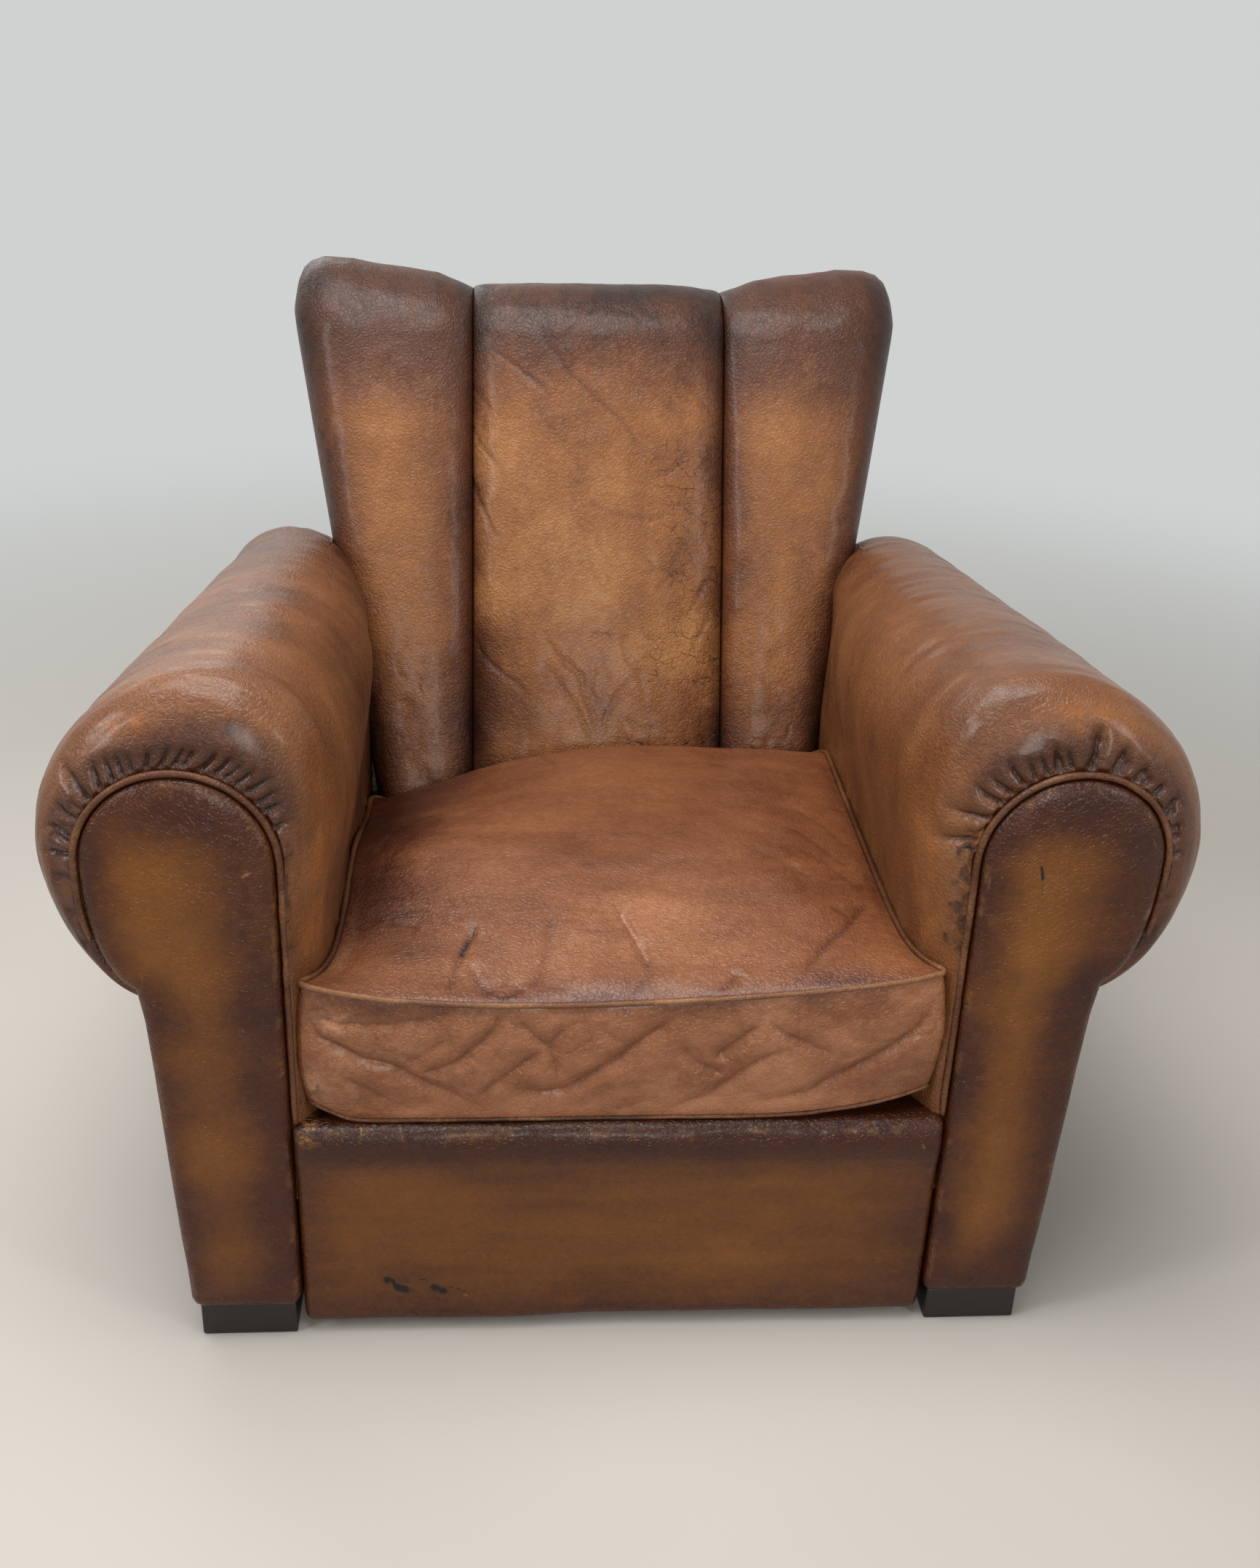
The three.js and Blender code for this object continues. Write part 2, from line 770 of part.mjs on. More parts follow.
// Timber of the back, cut to the planes of the back
function rakedPiece(x0, x1, z0, z1, front, rear) {
  return alongX(polygon([[front(z0), z0], [rear(z0), z0], [rear(z1), z1], [front(z1), z1]]), x0, x1);
}
const hessianRear = (z) => padRear(z) + hessianThickness + 2 * gap;
const boardRear = (z) => frameRear(z) - flapThickness - gap;
const boardInnerX = backBoardOuterX - backBoardThickness;
const innerSpan = boardInnerX - gap;
const backBoard = rakedPiece(boardInnerX, backBoardOuterX, armPadBase, headZ, hessianRear, boardRear);
addPair('back_board', backBoard, beech);
const behindHessian = (z) => hessianRear(z) + railThickness;
const topRail = rakedPiece(-innerSpan, innerSpan, headZ - topRailHeight, headZ, hessianRear, behindHessian);
add('back_top_rail', topRail, beech);
const stayTop = stayRailBase + stayRailHeight;
const stayRail = rakedPiece(-innerSpan, innerSpan, stayRailBase, stayTop, hessianRear, behindHessian);
add('back_stay_rail', stayRail, beech);
const hessianFront = (z) => padRear(z) + gap;
const hessianBack = (z) => padRear(z) + gap + hessianThickness;
add('back_hessian', rakedPiece(-backBoardOuterX, backBoardOuterX, stayRailBase, headZ - gap,
  hessianFront, hessianBack), jute);

// Seat frame
const railRearFront = (z) => frameRear(z) - railThickness;
const railOuterX = armSlotInnerX;
const railInnerX = railOuterX - sideRailThickness;
const frontRailHalf = facingInnerX - gap;
add('front_rail', block(-frontRailHalf, frontRailHalf, frontRailFront, frontRailBack, railBase, railTop), beech);
add('front_edge_board', block(-deckHalf + 2, deckHalf - 2, frontRailFront, frontRailFront + edgeBoardThickness,
  armPadBase, edgeBoardTop), beech);
add('back_rail', rakedPiece(-railOuterX, railOuterX, railBase, railTop, railRearFront, frameRear), beech);
addPair('side_rail', rakedPiece(railInnerX, railOuterX, railBase, railTop, () => frontRailBack + gap,
  (z) => railRearFront(z) - gap), beech);
const postX = railOuterX + gap;
addPair('front_arm_post', block(postX, postX + armPostSize, boardBack + gap, boardBack + gap + armPostSize,
  baseZ, armRailBase - gap), beech);
addPair('rear_arm_post', rakedPiece(postX, postX + armPostSize, baseZ, armRailBase - gap,
  (z) => frameRear(z) - armPostSize, frameRear), beech);
addPair('arm_rail', rakedPiece(armSlotInnerX + gap, armSlotOuterX - gap, armRailBase, armRailTop,
  () => boardBack + gap, frameRear), beech);

// Glue blocks in the corners of the seat frame
function cornerBlock(y, direction) {
  const shape = polygon([[railInnerX - gap, y], [railInnerX - gap - cornerBlockLeg, y],
    [railInnerX - gap, y + direction * cornerBlockLeg]]);
  const geometry = new THREE.ExtrudeGeometry(shape, { depth: cornerBlockHeight, bevelEnabled: false });
  geometry.translate(0, 0, railBase + cornerBlockRise);
  return geometry;
}
addPair('front_corner_block', cornerBlock(frontRailBack + gap, 1), beech);
addPair('back_corner_block', cornerBlock(railRearFront(railBase) - gap, -1), beech);

// Feet
const footX = (facingInnerX + facingFootX - 1) / 2;
const footInner = footX - footWidth / 2;
const footBackY = outsideBack(baseZ) - outsideBackThickness;
addPair('front_foot', block(footInner, footInner + footWidth, 0, footDepth, 0, footHeight), darkWood);
const backFoot = block(footInner, footInner + footWidth, footBackY - footDepth, footBackY, 0, footHeight);
addPair('back_foot', backFoot, darkWood);

// Webbing, springs, hessian, deck and dust cover
const springRowsY = Array.from({ length: springRows }, (_, i) => springFirstY + i * springPitchY);
const springColumnsX = springRowsY.map((_, i) => (i - (springRows - 1) / 2) * springPitchX);
const backRailUnder = railRearFront(railBase) + railThickness / 2;
springRowsY.forEach((y, i) => {
  const half = webbingWidth / 2;
  add(`cross_webbing_${i + 1}`, block(-railOuterX + 2, railOuterX - 2, y - half, y + half,
    crossWebbingZ, crossWebbingZ + webbingThickness), jute);
});
springColumnsX.forEach((x, i) => {
  const half = webbingWidth / 2;
  add(`long_webbing_${i + 1}`, block(x - half, x + half, frontRailFront + 3, backRailUnder,
    longWebbingZ, longWebbingZ + webbingThickness), jute);
});

function spring(x, y) {
  const low = railBase + springWire;
  const high = deckBottom - hessianThickness - 2 * gap - springWire;
  const points = [];
  const count = springTurns * stepsPerTurn;
  for (let i = 0; i <= count; i += 1) {
    const t = i / count;
    const r = lerp(springWaist, springRadius, (2 * t - 1) ** 2);
    const angle = 2 * Math.PI * springTurns * t;
    points.push(new THREE.Vector3(x + r * Math.cos(angle), y + r * Math.sin(angle), lerp(low, high, t)));
  }
  return cord(points, springWire, 5);
}
springRowsY.forEach((y, row) => {
  springColumnsX.forEach((x, column) => {
    add(`seat_spring_${row * springRows + column + 1}`, spring(x, y), springSteel);
  });
});
const deckBack = hessianRear(deckTop) - 1;
const deckFront = apronNoseDepth + gap;
add('seat_hessian', block(-deckHalf, deckHalf, deckFront, deckBack,
  deckBottom - gap - hessianThickness, deckBottom - gap), jute);
add('seat_deck', block(-deckHalf, deckHalf, deckFront, deckBack, deckBottom, deckTop), seatLeather);
add('dust_cover', block(-railOuterX, railOuterX, boardBack + gap, backRailUnder,
  baseZ, baseZ + dustCoverThickness), blackCloth);

// Apron with its nosing hooked back over the front edge
const apronProfile = polygon([
  [apronBack, apronBottom],
  [4, apronBottom],
  [-1, apronBottom + 6],
  [-4, apronBottom + 50],
  [-5, apronTop - 80],
  [-0.6 * apronNose, apronTop - 45],
  [-0.95 * apronNose, apronTop - 28],
  [-0.95 * apronNose, apronTop - 17],
  [-0.6 * apronNose, apronTop - 7],
  [0.1 * apronNose, apronTop - 1.5],
  [1.2 * apronNose, apronTop],
  [apronNoseDepth, apronTop],
  [apronNoseDepth, edgeBoardTop + gap],
  [apronBack, edgeBoardTop + gap],
]);
const apronOutline = new THREE.Shape();
apronOutline.moveTo(-apronHalfWidth + apronCorner, apronBottom);
apronOutline.lineTo(apronHalfWidth - apronCorner, apronBottom);
apronOutline.quadraticCurveTo(apronHalfWidth - 2, apronBottom, apronHalfWidth - 1, apronBottom + apronCorner);
apronOutline.lineTo(apronHalfWidth, apronTop - apronCorner);
apronOutline.quadraticCurveTo(apronHalfWidth, apronTop, apronHalfWidth - apronCorner / 2, apronTop);
apronOutline.lineTo(-apronHalfWidth + apronCorner / 2, apronTop);
apronOutline.quadraticCurveTo(-apronHalfWidth, apronTop, -apronHalfWidth, apronTop - apronCorner);
apronOutline.lineTo(-apronHalfWidth + 1, apronBottom + apronCorner);
apronOutline.quadraticCurveTo(-apronHalfWidth + 2, apronBottom, -apronHalfWidth + apronCorner, apronBottom);
const apronBody = common(alongX(apronProfile, -apronHalfWidth, apronHalfWidth),
  alongY(apronOutline, -wide, wide, { curveSegments: 4 }));
const apronSide = block(deckHalf, wide, apronBack, wide, 0, tall);
add('apron', cut(apronBody, apronSide, mirrored(apronSide)), facingLeather);

// Seat cushion: its sides follow the arms, its front corners are round, its top is crowned
function cushionSide(y) {
  return lerp(facingInnerX - armRingOffset, armFaceX, innerShare(Math.max(y, gatherFront))) - cushionSideGap;
}

const weltInset = weltRoom - weltProud;
const cushionCorner = weltTurn + weltInset;
const cornerY = cushionFront + cushionCorner;
const cornerX = cushionSide(cornerY) - 1.15 * cushionCorner;
const cornerEnd = 0.55;
const backCorner = weltBackTurn + weltInset;

// The rear of the cushion leans with the back
function cushionRear(z) {
  return insideBack(z) - centreBulge - gap - weltProud;
}

// Half width at a depth and height, with round corners in plan
function cushionHalf(y, z) {
  const front = (y - cornerY) / cushionCorner;
  if (front < cornerEnd) return cornerX + cushionCorner * Math.sqrt(1 - Math.min(1, front ** 2));
  const rear = clamp01((y - cushionRear(z) + backCorner) / backCorner);
  return cushionSide(y) - backCorner * (1 - Math.sqrt(1 - rear ** 2));
}

const cushionStations = [0, 0.01, 0.025, 0.05, 0.1, 0.2, 0.35, 0.5, 0.65, 0.8, 0.9, 0.955, 0.98];
const crownSteps = 8;
function cushionRing(along, inset, push = 0) {
  const ring = [];
  const place = (side, edge, z) => {
    const y = lerp(cushionFront, cushionRear(z), along) + push;
    ring.push(new THREE.Vector3(side * (cushionHalf(y, z) - inset - edge), y, z));
  };
  place(-1, 4, cushionBase + inset);
  place(1, 4, cushionBase + inset);
  place(1, 0, cushionBase + inset + 4);
  place(1, 0, cushionEdgeTop - inset);
  for (let i = 0; i <= crownSteps; i += 1) {
    const side = 1 - (2 * i) / crownSteps;
    const y = lerp(cushionFront, cushionRear(cushionEdgeTop), along) + push;
    const x = side * (cushionHalf(y, cushionEdgeTop) - inset - 7);
    const crown = cushionCrown * Math.sqrt(1 - side * side) * Math.sin(Math.PI * clamp01(along)) ** 0.6;
    ring.push(new THREE.Vector3(x, y, cushionEdgeTop - inset + crown));
  }
  place(-1, 0, cushionEdgeTop - inset);
  place(-1, 0, cushionBase + inset + 4);
  return ring;
}
const cushionRings = [cushionRing(0, 14, -5), cushionRing(0, 7, -4)];
cushionRings.push(...cushionStations.map((along) => cushionRing(along, 0)));
cushionRings.push(cushionRing(1, 0));
const cushionBlock = loft(cushionRings, (p) => new THREE.Vector2(p.x, p.z));

// Welts round the cushion's edges, each an open loop that starts and ends at the middle of the back
function weltPath(z) {
  const back = cushionRear(z) - weltInset;
  const right = [new THREE.Vector3(0.6, back, z)];
  const round = (x, y, r, from, to) => {
    for (let i = 0; i <= 5; i += 1) {
      const angle = lerp(from, to, i / 5);
      right.push(new THREE.Vector3(x + r * Math.cos(angle), y + r * Math.sin(angle), z));
    }
  };
  const backY = back - weltBackTurn;
  round(cushionSide(backY) - backCorner, backY, weltBackTurn, Math.PI / 2, 0);
  for (const y of [300, 160, 90, 50, 25]) {
    right.push(new THREE.Vector3(cushionSide(y) - 1.1 * weltInset, y, z));
  }
  round(cornerX, cornerY, weltTurn, Math.asin(cornerEnd), -Math.PI / 2);
  const left = right.map((p) => new THREE.Vector3(-p.x, p.y, p.z)).reverse();
  return [...right, ...left];
}
const topWelt = weltPath(cushionEdgeTop - weltInset + 1);
const bottomWelt = weltPath(cushionBase + welt - weltProud);
const cushion = cutMain(cushionBlock, cord(topWelt, weltRoom, 6), cord(bottomWelt, weltRoom, 6));
add('seat_cushion', cushion, seatLeather);
add('cushion_welt_top', cord(topWelt, welt, 6), pipingLeather);
add('cushion_welt_bottom', cord(bottomWelt, welt, 6), pipingLeather);

// Stand the chair on its feet over the origin
const bounds = new THREE.Box3().setFromObject(chair);
const middle = bounds.getCenter(new THREE.Vector3());
chair.position.set(-middle.x, -middle.y, -bounds.min.z);

export default chair;
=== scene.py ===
"""A worn leather club chair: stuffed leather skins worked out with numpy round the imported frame.

Lengths are metres. Y is counted from the plane of the arm fronts, as in the part's source, and
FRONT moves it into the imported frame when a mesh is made. X is counted outwards on either side.
"""
import json

import bmesh
import bpy
import numpy as np
from mathutils import Matrix, Vector


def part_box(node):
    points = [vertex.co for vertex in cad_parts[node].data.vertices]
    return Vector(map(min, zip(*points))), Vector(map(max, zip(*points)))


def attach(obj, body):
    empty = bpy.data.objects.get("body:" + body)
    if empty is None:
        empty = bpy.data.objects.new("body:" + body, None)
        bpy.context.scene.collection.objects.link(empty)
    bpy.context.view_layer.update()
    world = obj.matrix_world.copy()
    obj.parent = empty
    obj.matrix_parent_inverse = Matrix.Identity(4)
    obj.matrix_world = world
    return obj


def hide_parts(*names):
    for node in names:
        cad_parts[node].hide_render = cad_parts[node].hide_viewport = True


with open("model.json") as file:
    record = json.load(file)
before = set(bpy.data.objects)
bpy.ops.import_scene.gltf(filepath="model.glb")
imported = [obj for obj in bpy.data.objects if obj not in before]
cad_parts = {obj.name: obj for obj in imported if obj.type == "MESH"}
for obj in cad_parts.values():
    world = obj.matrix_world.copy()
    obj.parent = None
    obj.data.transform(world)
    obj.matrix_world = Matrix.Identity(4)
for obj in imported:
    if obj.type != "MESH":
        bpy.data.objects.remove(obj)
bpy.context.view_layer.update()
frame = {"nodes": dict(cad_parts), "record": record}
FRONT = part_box("front_foot_left")[0][1]

# Sizes that the leather follows, the same as the solids'
GAP = 0.0003
FOOT_HEIGHT = 0.036
FACING_INNER = 0.2835
ARC_RADIUS = 0.0758
ARC_HEIGHT = 0.487
ARC_X = FACING_INNER + ARC_RADIUS
KNEE = (0.401, 0.373)
FACING_FOOT = 0.381
CROWN = 0.010
BOARD_BACK = 0.0383
PIPING = 0.0034
PIPING_END = 0.417
ROLL_X = 0.330
ROLL_HEIGHT = 0.488
ROLL_RADII = (0.146, 0.062)
ROLL_FULL = 0.055
ROLL_END = 0.660
ROLL_RISE = 0.009
GATHER_FRONT = 0.004
ARM_BULGE = (0.2285, 0.262)
ARM_FACE = 0.2475
ARM_FACE_TOP = 0.372
ARM_BASE = 0.1421
ARM_BACK = 0.790
APRON_HALF = 0.2827
APRON_BOTTOM = 0.011
APRON_TOP = 0.235
CUSHION_BASE = 0.2363
CUSHION_REAR = 0.484
WELT = 0.003
SEAM = 0.136
HEAD_RADIUS = 0.0693
HEAD = (0.7421, 0.7287)
PAD_THICKNESS = 0.054
FLAP_END = 0.6887
PANEL_FOOT = 0.0363
INSIDE_LEAN = 0.4
OUTSIDE_LEAN = 0.17
WING_WIDTH = 0.294 - SEAM
BOARD_SIDE = 0.2858
BOARD_FOOT = 0.44
CHAIR_MIDDLE = (0, 0.38, 0.40)
ENDS = {-1: "left", 1: "right"}
NO_TRIANGLES = np.zeros((0, 3), int)


def mix(a, b, t):
    """From a to b by the share t."""
    return a + (b - a) * t


def smooth(t):
    """An eased step: 3t2 - 2t3 between 0 and 1."""
    t = np.clip(t, 0, 1)
    return t * t * (3 - 2 * t)


def bell(distance, width):
    """A bell curve: e to the power of minus the squared share of distance and width."""
    return np.exp(-((distance / width) ** 2))


def eased(distance, width):
    """Rounded edge that meets the flat without a change of bend: the root of one less a cube."""
    return np.sqrt(1 - np.clip(1 - distance / width, 0, 1) ** 3)


def quarter(distance, width):
    """A quarter round: the root of one less the squared remaining share of the width."""
    return np.sqrt(1 - (1 - np.clip(distance / width, 0, 1)) ** 2)


def lattice(cell, seed):
    """A value from -1 to 1 for each whole-number cell: its three numbers are multiplied and folded."""
    x, y, z = (cell[..., k].astype(np.int64) for k in range(3))
    h = (x * 73856093) ^ (y * 19349663) ^ (z * 83492791) ^ (seed * 265443576)
    h = ((h ^ (h >> 15)) * 22468225) & 0xFFFFFFFF
    h = ((h ^ (h >> 13)) * 32664899) & 0xFFFFFFFF
    return ((h ^ (h >> 16)) & 0xFFFF) / 32767.5 - 1


def noise(points, size, seed):
    """Smooth noise: values on a lattice of that cell size, blended along each axis by an eased weight."""
    place = points / np.asarray(size)
    base = np.floor(place)
    share = place - base
    share = share**3 * (share * (share * 6 - 15) + 10)
    total = 0
    for corner in np.ndindex(2, 2, 2):
        weight = np.prod(np.where(corner, share, 1 - share), -1)
        total = total + weight * lattice(base + corner, seed)
    return total


def fractal(points, size, seed, octaves=4):
    """Noise on noise: each layer has half the cell size and half the height of the last."""
    size = np.asarray(size, float)
    return sum(noise(points, size / 2**k, seed + k) / 2**k for k in range(octaves))


def lines(points, size, seed, width=0.12):
    """Thin wandering lines: one where warped noise crosses zero, falling off within the width."""
    warp = noise(points, np.asarray(size) * 0.7, seed + 50)[..., None] * np.asarray(size) * 0.35
    return bell(noise(points + warp, size, seed), width)


def strokes(a, b, drawn, width):
    """Nearness to drawn lines in a flat drawing of a and b: one on a line, a bell curve away from it,
    fading over the first and last fifth of its length. Each line is its points in millimetres and a
    strength."""
    best = np.zeros(np.broadcast(a, b).shape)
    for line, strength in drawn:
        line = np.asarray(line, float) / 1000
        ends = np.concatenate([[0], np.cumsum(np.hypot(*np.diff(line, axis=0).T))])
        for k in range(len(line) - 1):
            (a0, b0), (a1, b1) = line[k], line[k + 1]
            run = (a1 - a0) ** 2 + (b1 - b0) ** 2
            t = np.clip(((a - a0) * (a1 - a0) + (b - b0) * (b1 - b0)) / run, 0, 1)
            away = np.hypot(a - mix(a0, a1, t), b - mix(b0, b1, t))
            along = mix(ends[k], ends[k + 1], t) / ends[-1]
            fade = smooth(along / 0.2) * smooth((1 - along) / 0.2)
            best = np.maximum(best, strength * fade * bell(away, width))
    return best


def outward(points, cell, direction):
    """Unit normals of a grid: the cross product of its slopes down the rows and along them, turned so
    that the one in the given cell points along the direction."""
    n = np.cross(np.gradient(points, axis=0), np.gradient(points, axis=1))
    n = n / np.maximum(np.linalg.norm(n, axis=-1, keepdims=True), 1e-12)
    return n if n[cell] @ np.array(direction) > 0 else -n


def pushed(points, out, heights):
    """The points moved along their outward directions by their heights."""
    return points + out * heights[..., None]


# Meshes


def quads(rows):
    """Four corners for each cell of a grid of vertex numbers."""
    return np.stack([rows[:-1, :-1], rows[1:, :-1], rows[1:, 1:], rows[:-1, 1:]], -1).reshape(-1, 4)


def rim(grid):
    """The outer loop of a grid, once round."""
    return np.concatenate([grid[0], grid[1:, -1], grid[-1, -2::-1], grid[-2:0:-1, 0]])


def sleeve_faces(points):
    """Faces of a sleeve of rows whose first and last row have drawn in to a line: quads round it."""
    rows, count = points.shape[:2]
    index = np.arange(rows * count).reshape(rows, count)
    return points.reshape(-1, 3), quads(np.hstack([index, index[:, :1]])), NO_TRIANGLES


def loft_faces(points):
    """Faces of a closed sleeve of rows: quads round it, and a fan over each end to its middle."""
    rows, count = points.shape[:2]
    index = np.arange(rows * count).reshape(rows, count)
    looped = np.hstack([index, index[:, :1]])
    middles = np.array([rows * count, rows * count + 1])
    first = np.stack([np.full(count, middles[0]), looped[0, :-1], looped[0, 1:]], -1)
    last = np.stack([np.full(count, middles[1]), looped[-1, 1:], looped[-1, :-1]], -1)
    vertices = np.vstack([points.reshape(-1, 3), points[0].mean(0), points[-1].mean(0)])
    return vertices, quads(looped), np.vstack([first, last])


def shell_faces(outer, band, inner=None):
    """Faces of a closed shell: an outer and an inner grid, and a band of loops between their rims. With
    no inner grid, the last loop of the band has drawn in to a line."""
    count = outer.shape[0] * outer.shape[1]
    index = np.arange(count).reshape(outer.shape[:2])
    loops = [rim(index)]
    start = count
    for row in band:
        loops.append(start + np.arange(len(row)))
        start += len(row)
    if inner is not None:
        loops.append(start + rim(index))
    looped = np.array([np.append(loop, loop[0]) for loop in loops])
    faces = np.vstack([quads(index), quads(looped[::-1])])
    vertices = np.vstack([outer.reshape(-1, 3), *band])
    if inner is not None:
        faces = np.vstack([faces, quads(start + index)[:, ::-1]])
        vertices = np.vstack([vertices, inner.reshape(-1, 3)])
    return vertices, faces, NO_TRIANGLES


def volume(vertices, faces):
    """Signed volume: a sixth of the sum of triple products over each face's first triangle and, for a
    quad, its second one."""
    a, b, c = (vertices[faces[:, k]] for k in range(3))
    total = np.einsum("ij,ij->", a, np.cross(b, c))
    if faces.shape[1] == 4:
        d = vertices[faces[:, 3]]
        total += np.einsum("ij,ij->", a, np.cross(c, d))
    return total / 6


def skin(name, made, material, stands_for, paint=None, side=1):
    """A finished piece from vertices, quads and triangles, faces outwards, in its place on the chair.
    Paint gives each vertex its values, and the last value goes on to the vertices left over. Points
    that lie on each other are joined, which closes seams and ends."""
    vertices, four, three = made
    vertices = vertices * (side, 1, 1) + (0, FRONT, 0)
    middle = vertices.mean(0)
    if volume(vertices - middle, four) + (volume(vertices - middle, three) if len(three) else 0) < 0:
        four, three = four[:, ::-1], three[:, ::-1]
    mesh = bpy.data.meshes.new(name)
    mesh.vertices.add(len(vertices))
    mesh.vertices.foreach_set("co", vertices.astype(np.float32).ravel())
    corners = np.concatenate([four.ravel(), three.ravel()])
    starts = np.concatenate([np.arange(len(four)) * 4, len(four) * 4 + np.arange(len(three)) * 3])
    mesh.loops.add(len(corners))
    mesh.loops.foreach_set("vertex_index", corners.astype(np.int32))
    mesh.polygons.add(len(starts))
    mesh.polygons.foreach_set("loop_start", starts.astype(np.int32))
    mesh.update(calc_edges=True)
    for key in ("tone", "wear_and_highlight", "grime_and_shade", "crackle"):
        values = np.ravel((paint or {}).get(key, 0.0))
        full = np.append(values, np.full(len(vertices) - len(values), values[-1]))
        mesh.attributes.new(key, "FLOAT", "POINT").data.foreach_set("value", full.astype(np.float32))
    welded = bmesh.new()
    welded.from_mesh(mesh)
    bmesh.ops.remove_doubles(welded, verts=welded.verts, dist=1e-5)
    welded.to_mesh(mesh)
    welded.free()
    mesh.shade_smooth()
    piece = bpy.data.objects.new(name, mesh)
    bpy.context.scene.collection.objects.link(piece)
    mesh.materials.append(material)
    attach(piece, "root")
    if stands_for:
        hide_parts(*stands_for)
    return piece


def tube(path, radii, up, sides=14):
    """A round cord: circles of the given radii round a path, set across it with one axis along up."""
    along = np.gradient(path, axis=0)
    along /= np.linalg.norm(along, axis=1, keepdims=True)
    across = np.cross(along, np.asarray(up, float))
    across /= np.linalg.norm(across, axis=1, keepdims=True)
    other = np.cross(across, along)
    turn = np.linspace(0, 2 * np.pi, sides, endpoint=False)[None, :, None]
    ring = across[:, None] * np.cos(turn) + other[:, None] * np.sin(turn)
    return path[:, None] + ring * np.broadcast_to(radii, len(path))[:, None, None]


def even(path, step):
    """The path again with points one step apart along it."""
    lengths = np.concatenate([[0], np.cumsum(np.linalg.norm(np.diff(path, axis=0), axis=1))])
    count = max(int(lengths[-1] / step), 2)
    places = np.linspace(0, lengths[-1], count + 1)
    return np.stack([np.interp(places, lengths, path[:, k]) for k in range(path.shape[1])], -1)


# Materials


def srgb(text):
    """Linear colour of an sRGB hex value, by the sRGB transfer curve."""
    values = [int(text[k : k + 2], 16) / 255 for k in (1, 3, 5)]
    return (*[v / 12.92 if v <= 0.04045 else ((v + 0.055) / 1.055) ** 2.4 for v in values], 1)


def add(material, kind, output, inputs, stops=None, **settings):
    """Adds a node with its settings, each input linked to a socket or set to a value, and a colour
    ramp's stops as places and hex colours. Gives the named output back."""
    made = material.node_tree.nodes.new("ShaderNode" + kind)
    for key, value in settings.items():
        setattr(made, key, value)
    for key, value in inputs.items():
        if isinstance(value, bpy.types.NodeSocket):
            material.node_tree.links.new(value, made.inputs[key])
        else:
            made.inputs[key].default_value = value
    if stops:
        elements = made.color_ramp.elements
        while len(elements) < len(stops):
            elements.new(0.5)
        for element, (place, colour) in zip(elements, stops):
            element.position = place
            element.color = srgb(colour)
    return made.outputs[output] if output else None


def new_material(name):
    """An empty material and its object coordinates, in metres."""
    material = bpy.data.materials.new(name)
    material.use_nodes = True
    material.node_tree.nodes.clear()
    return material, add(material, "TexCoord", "Object", {})


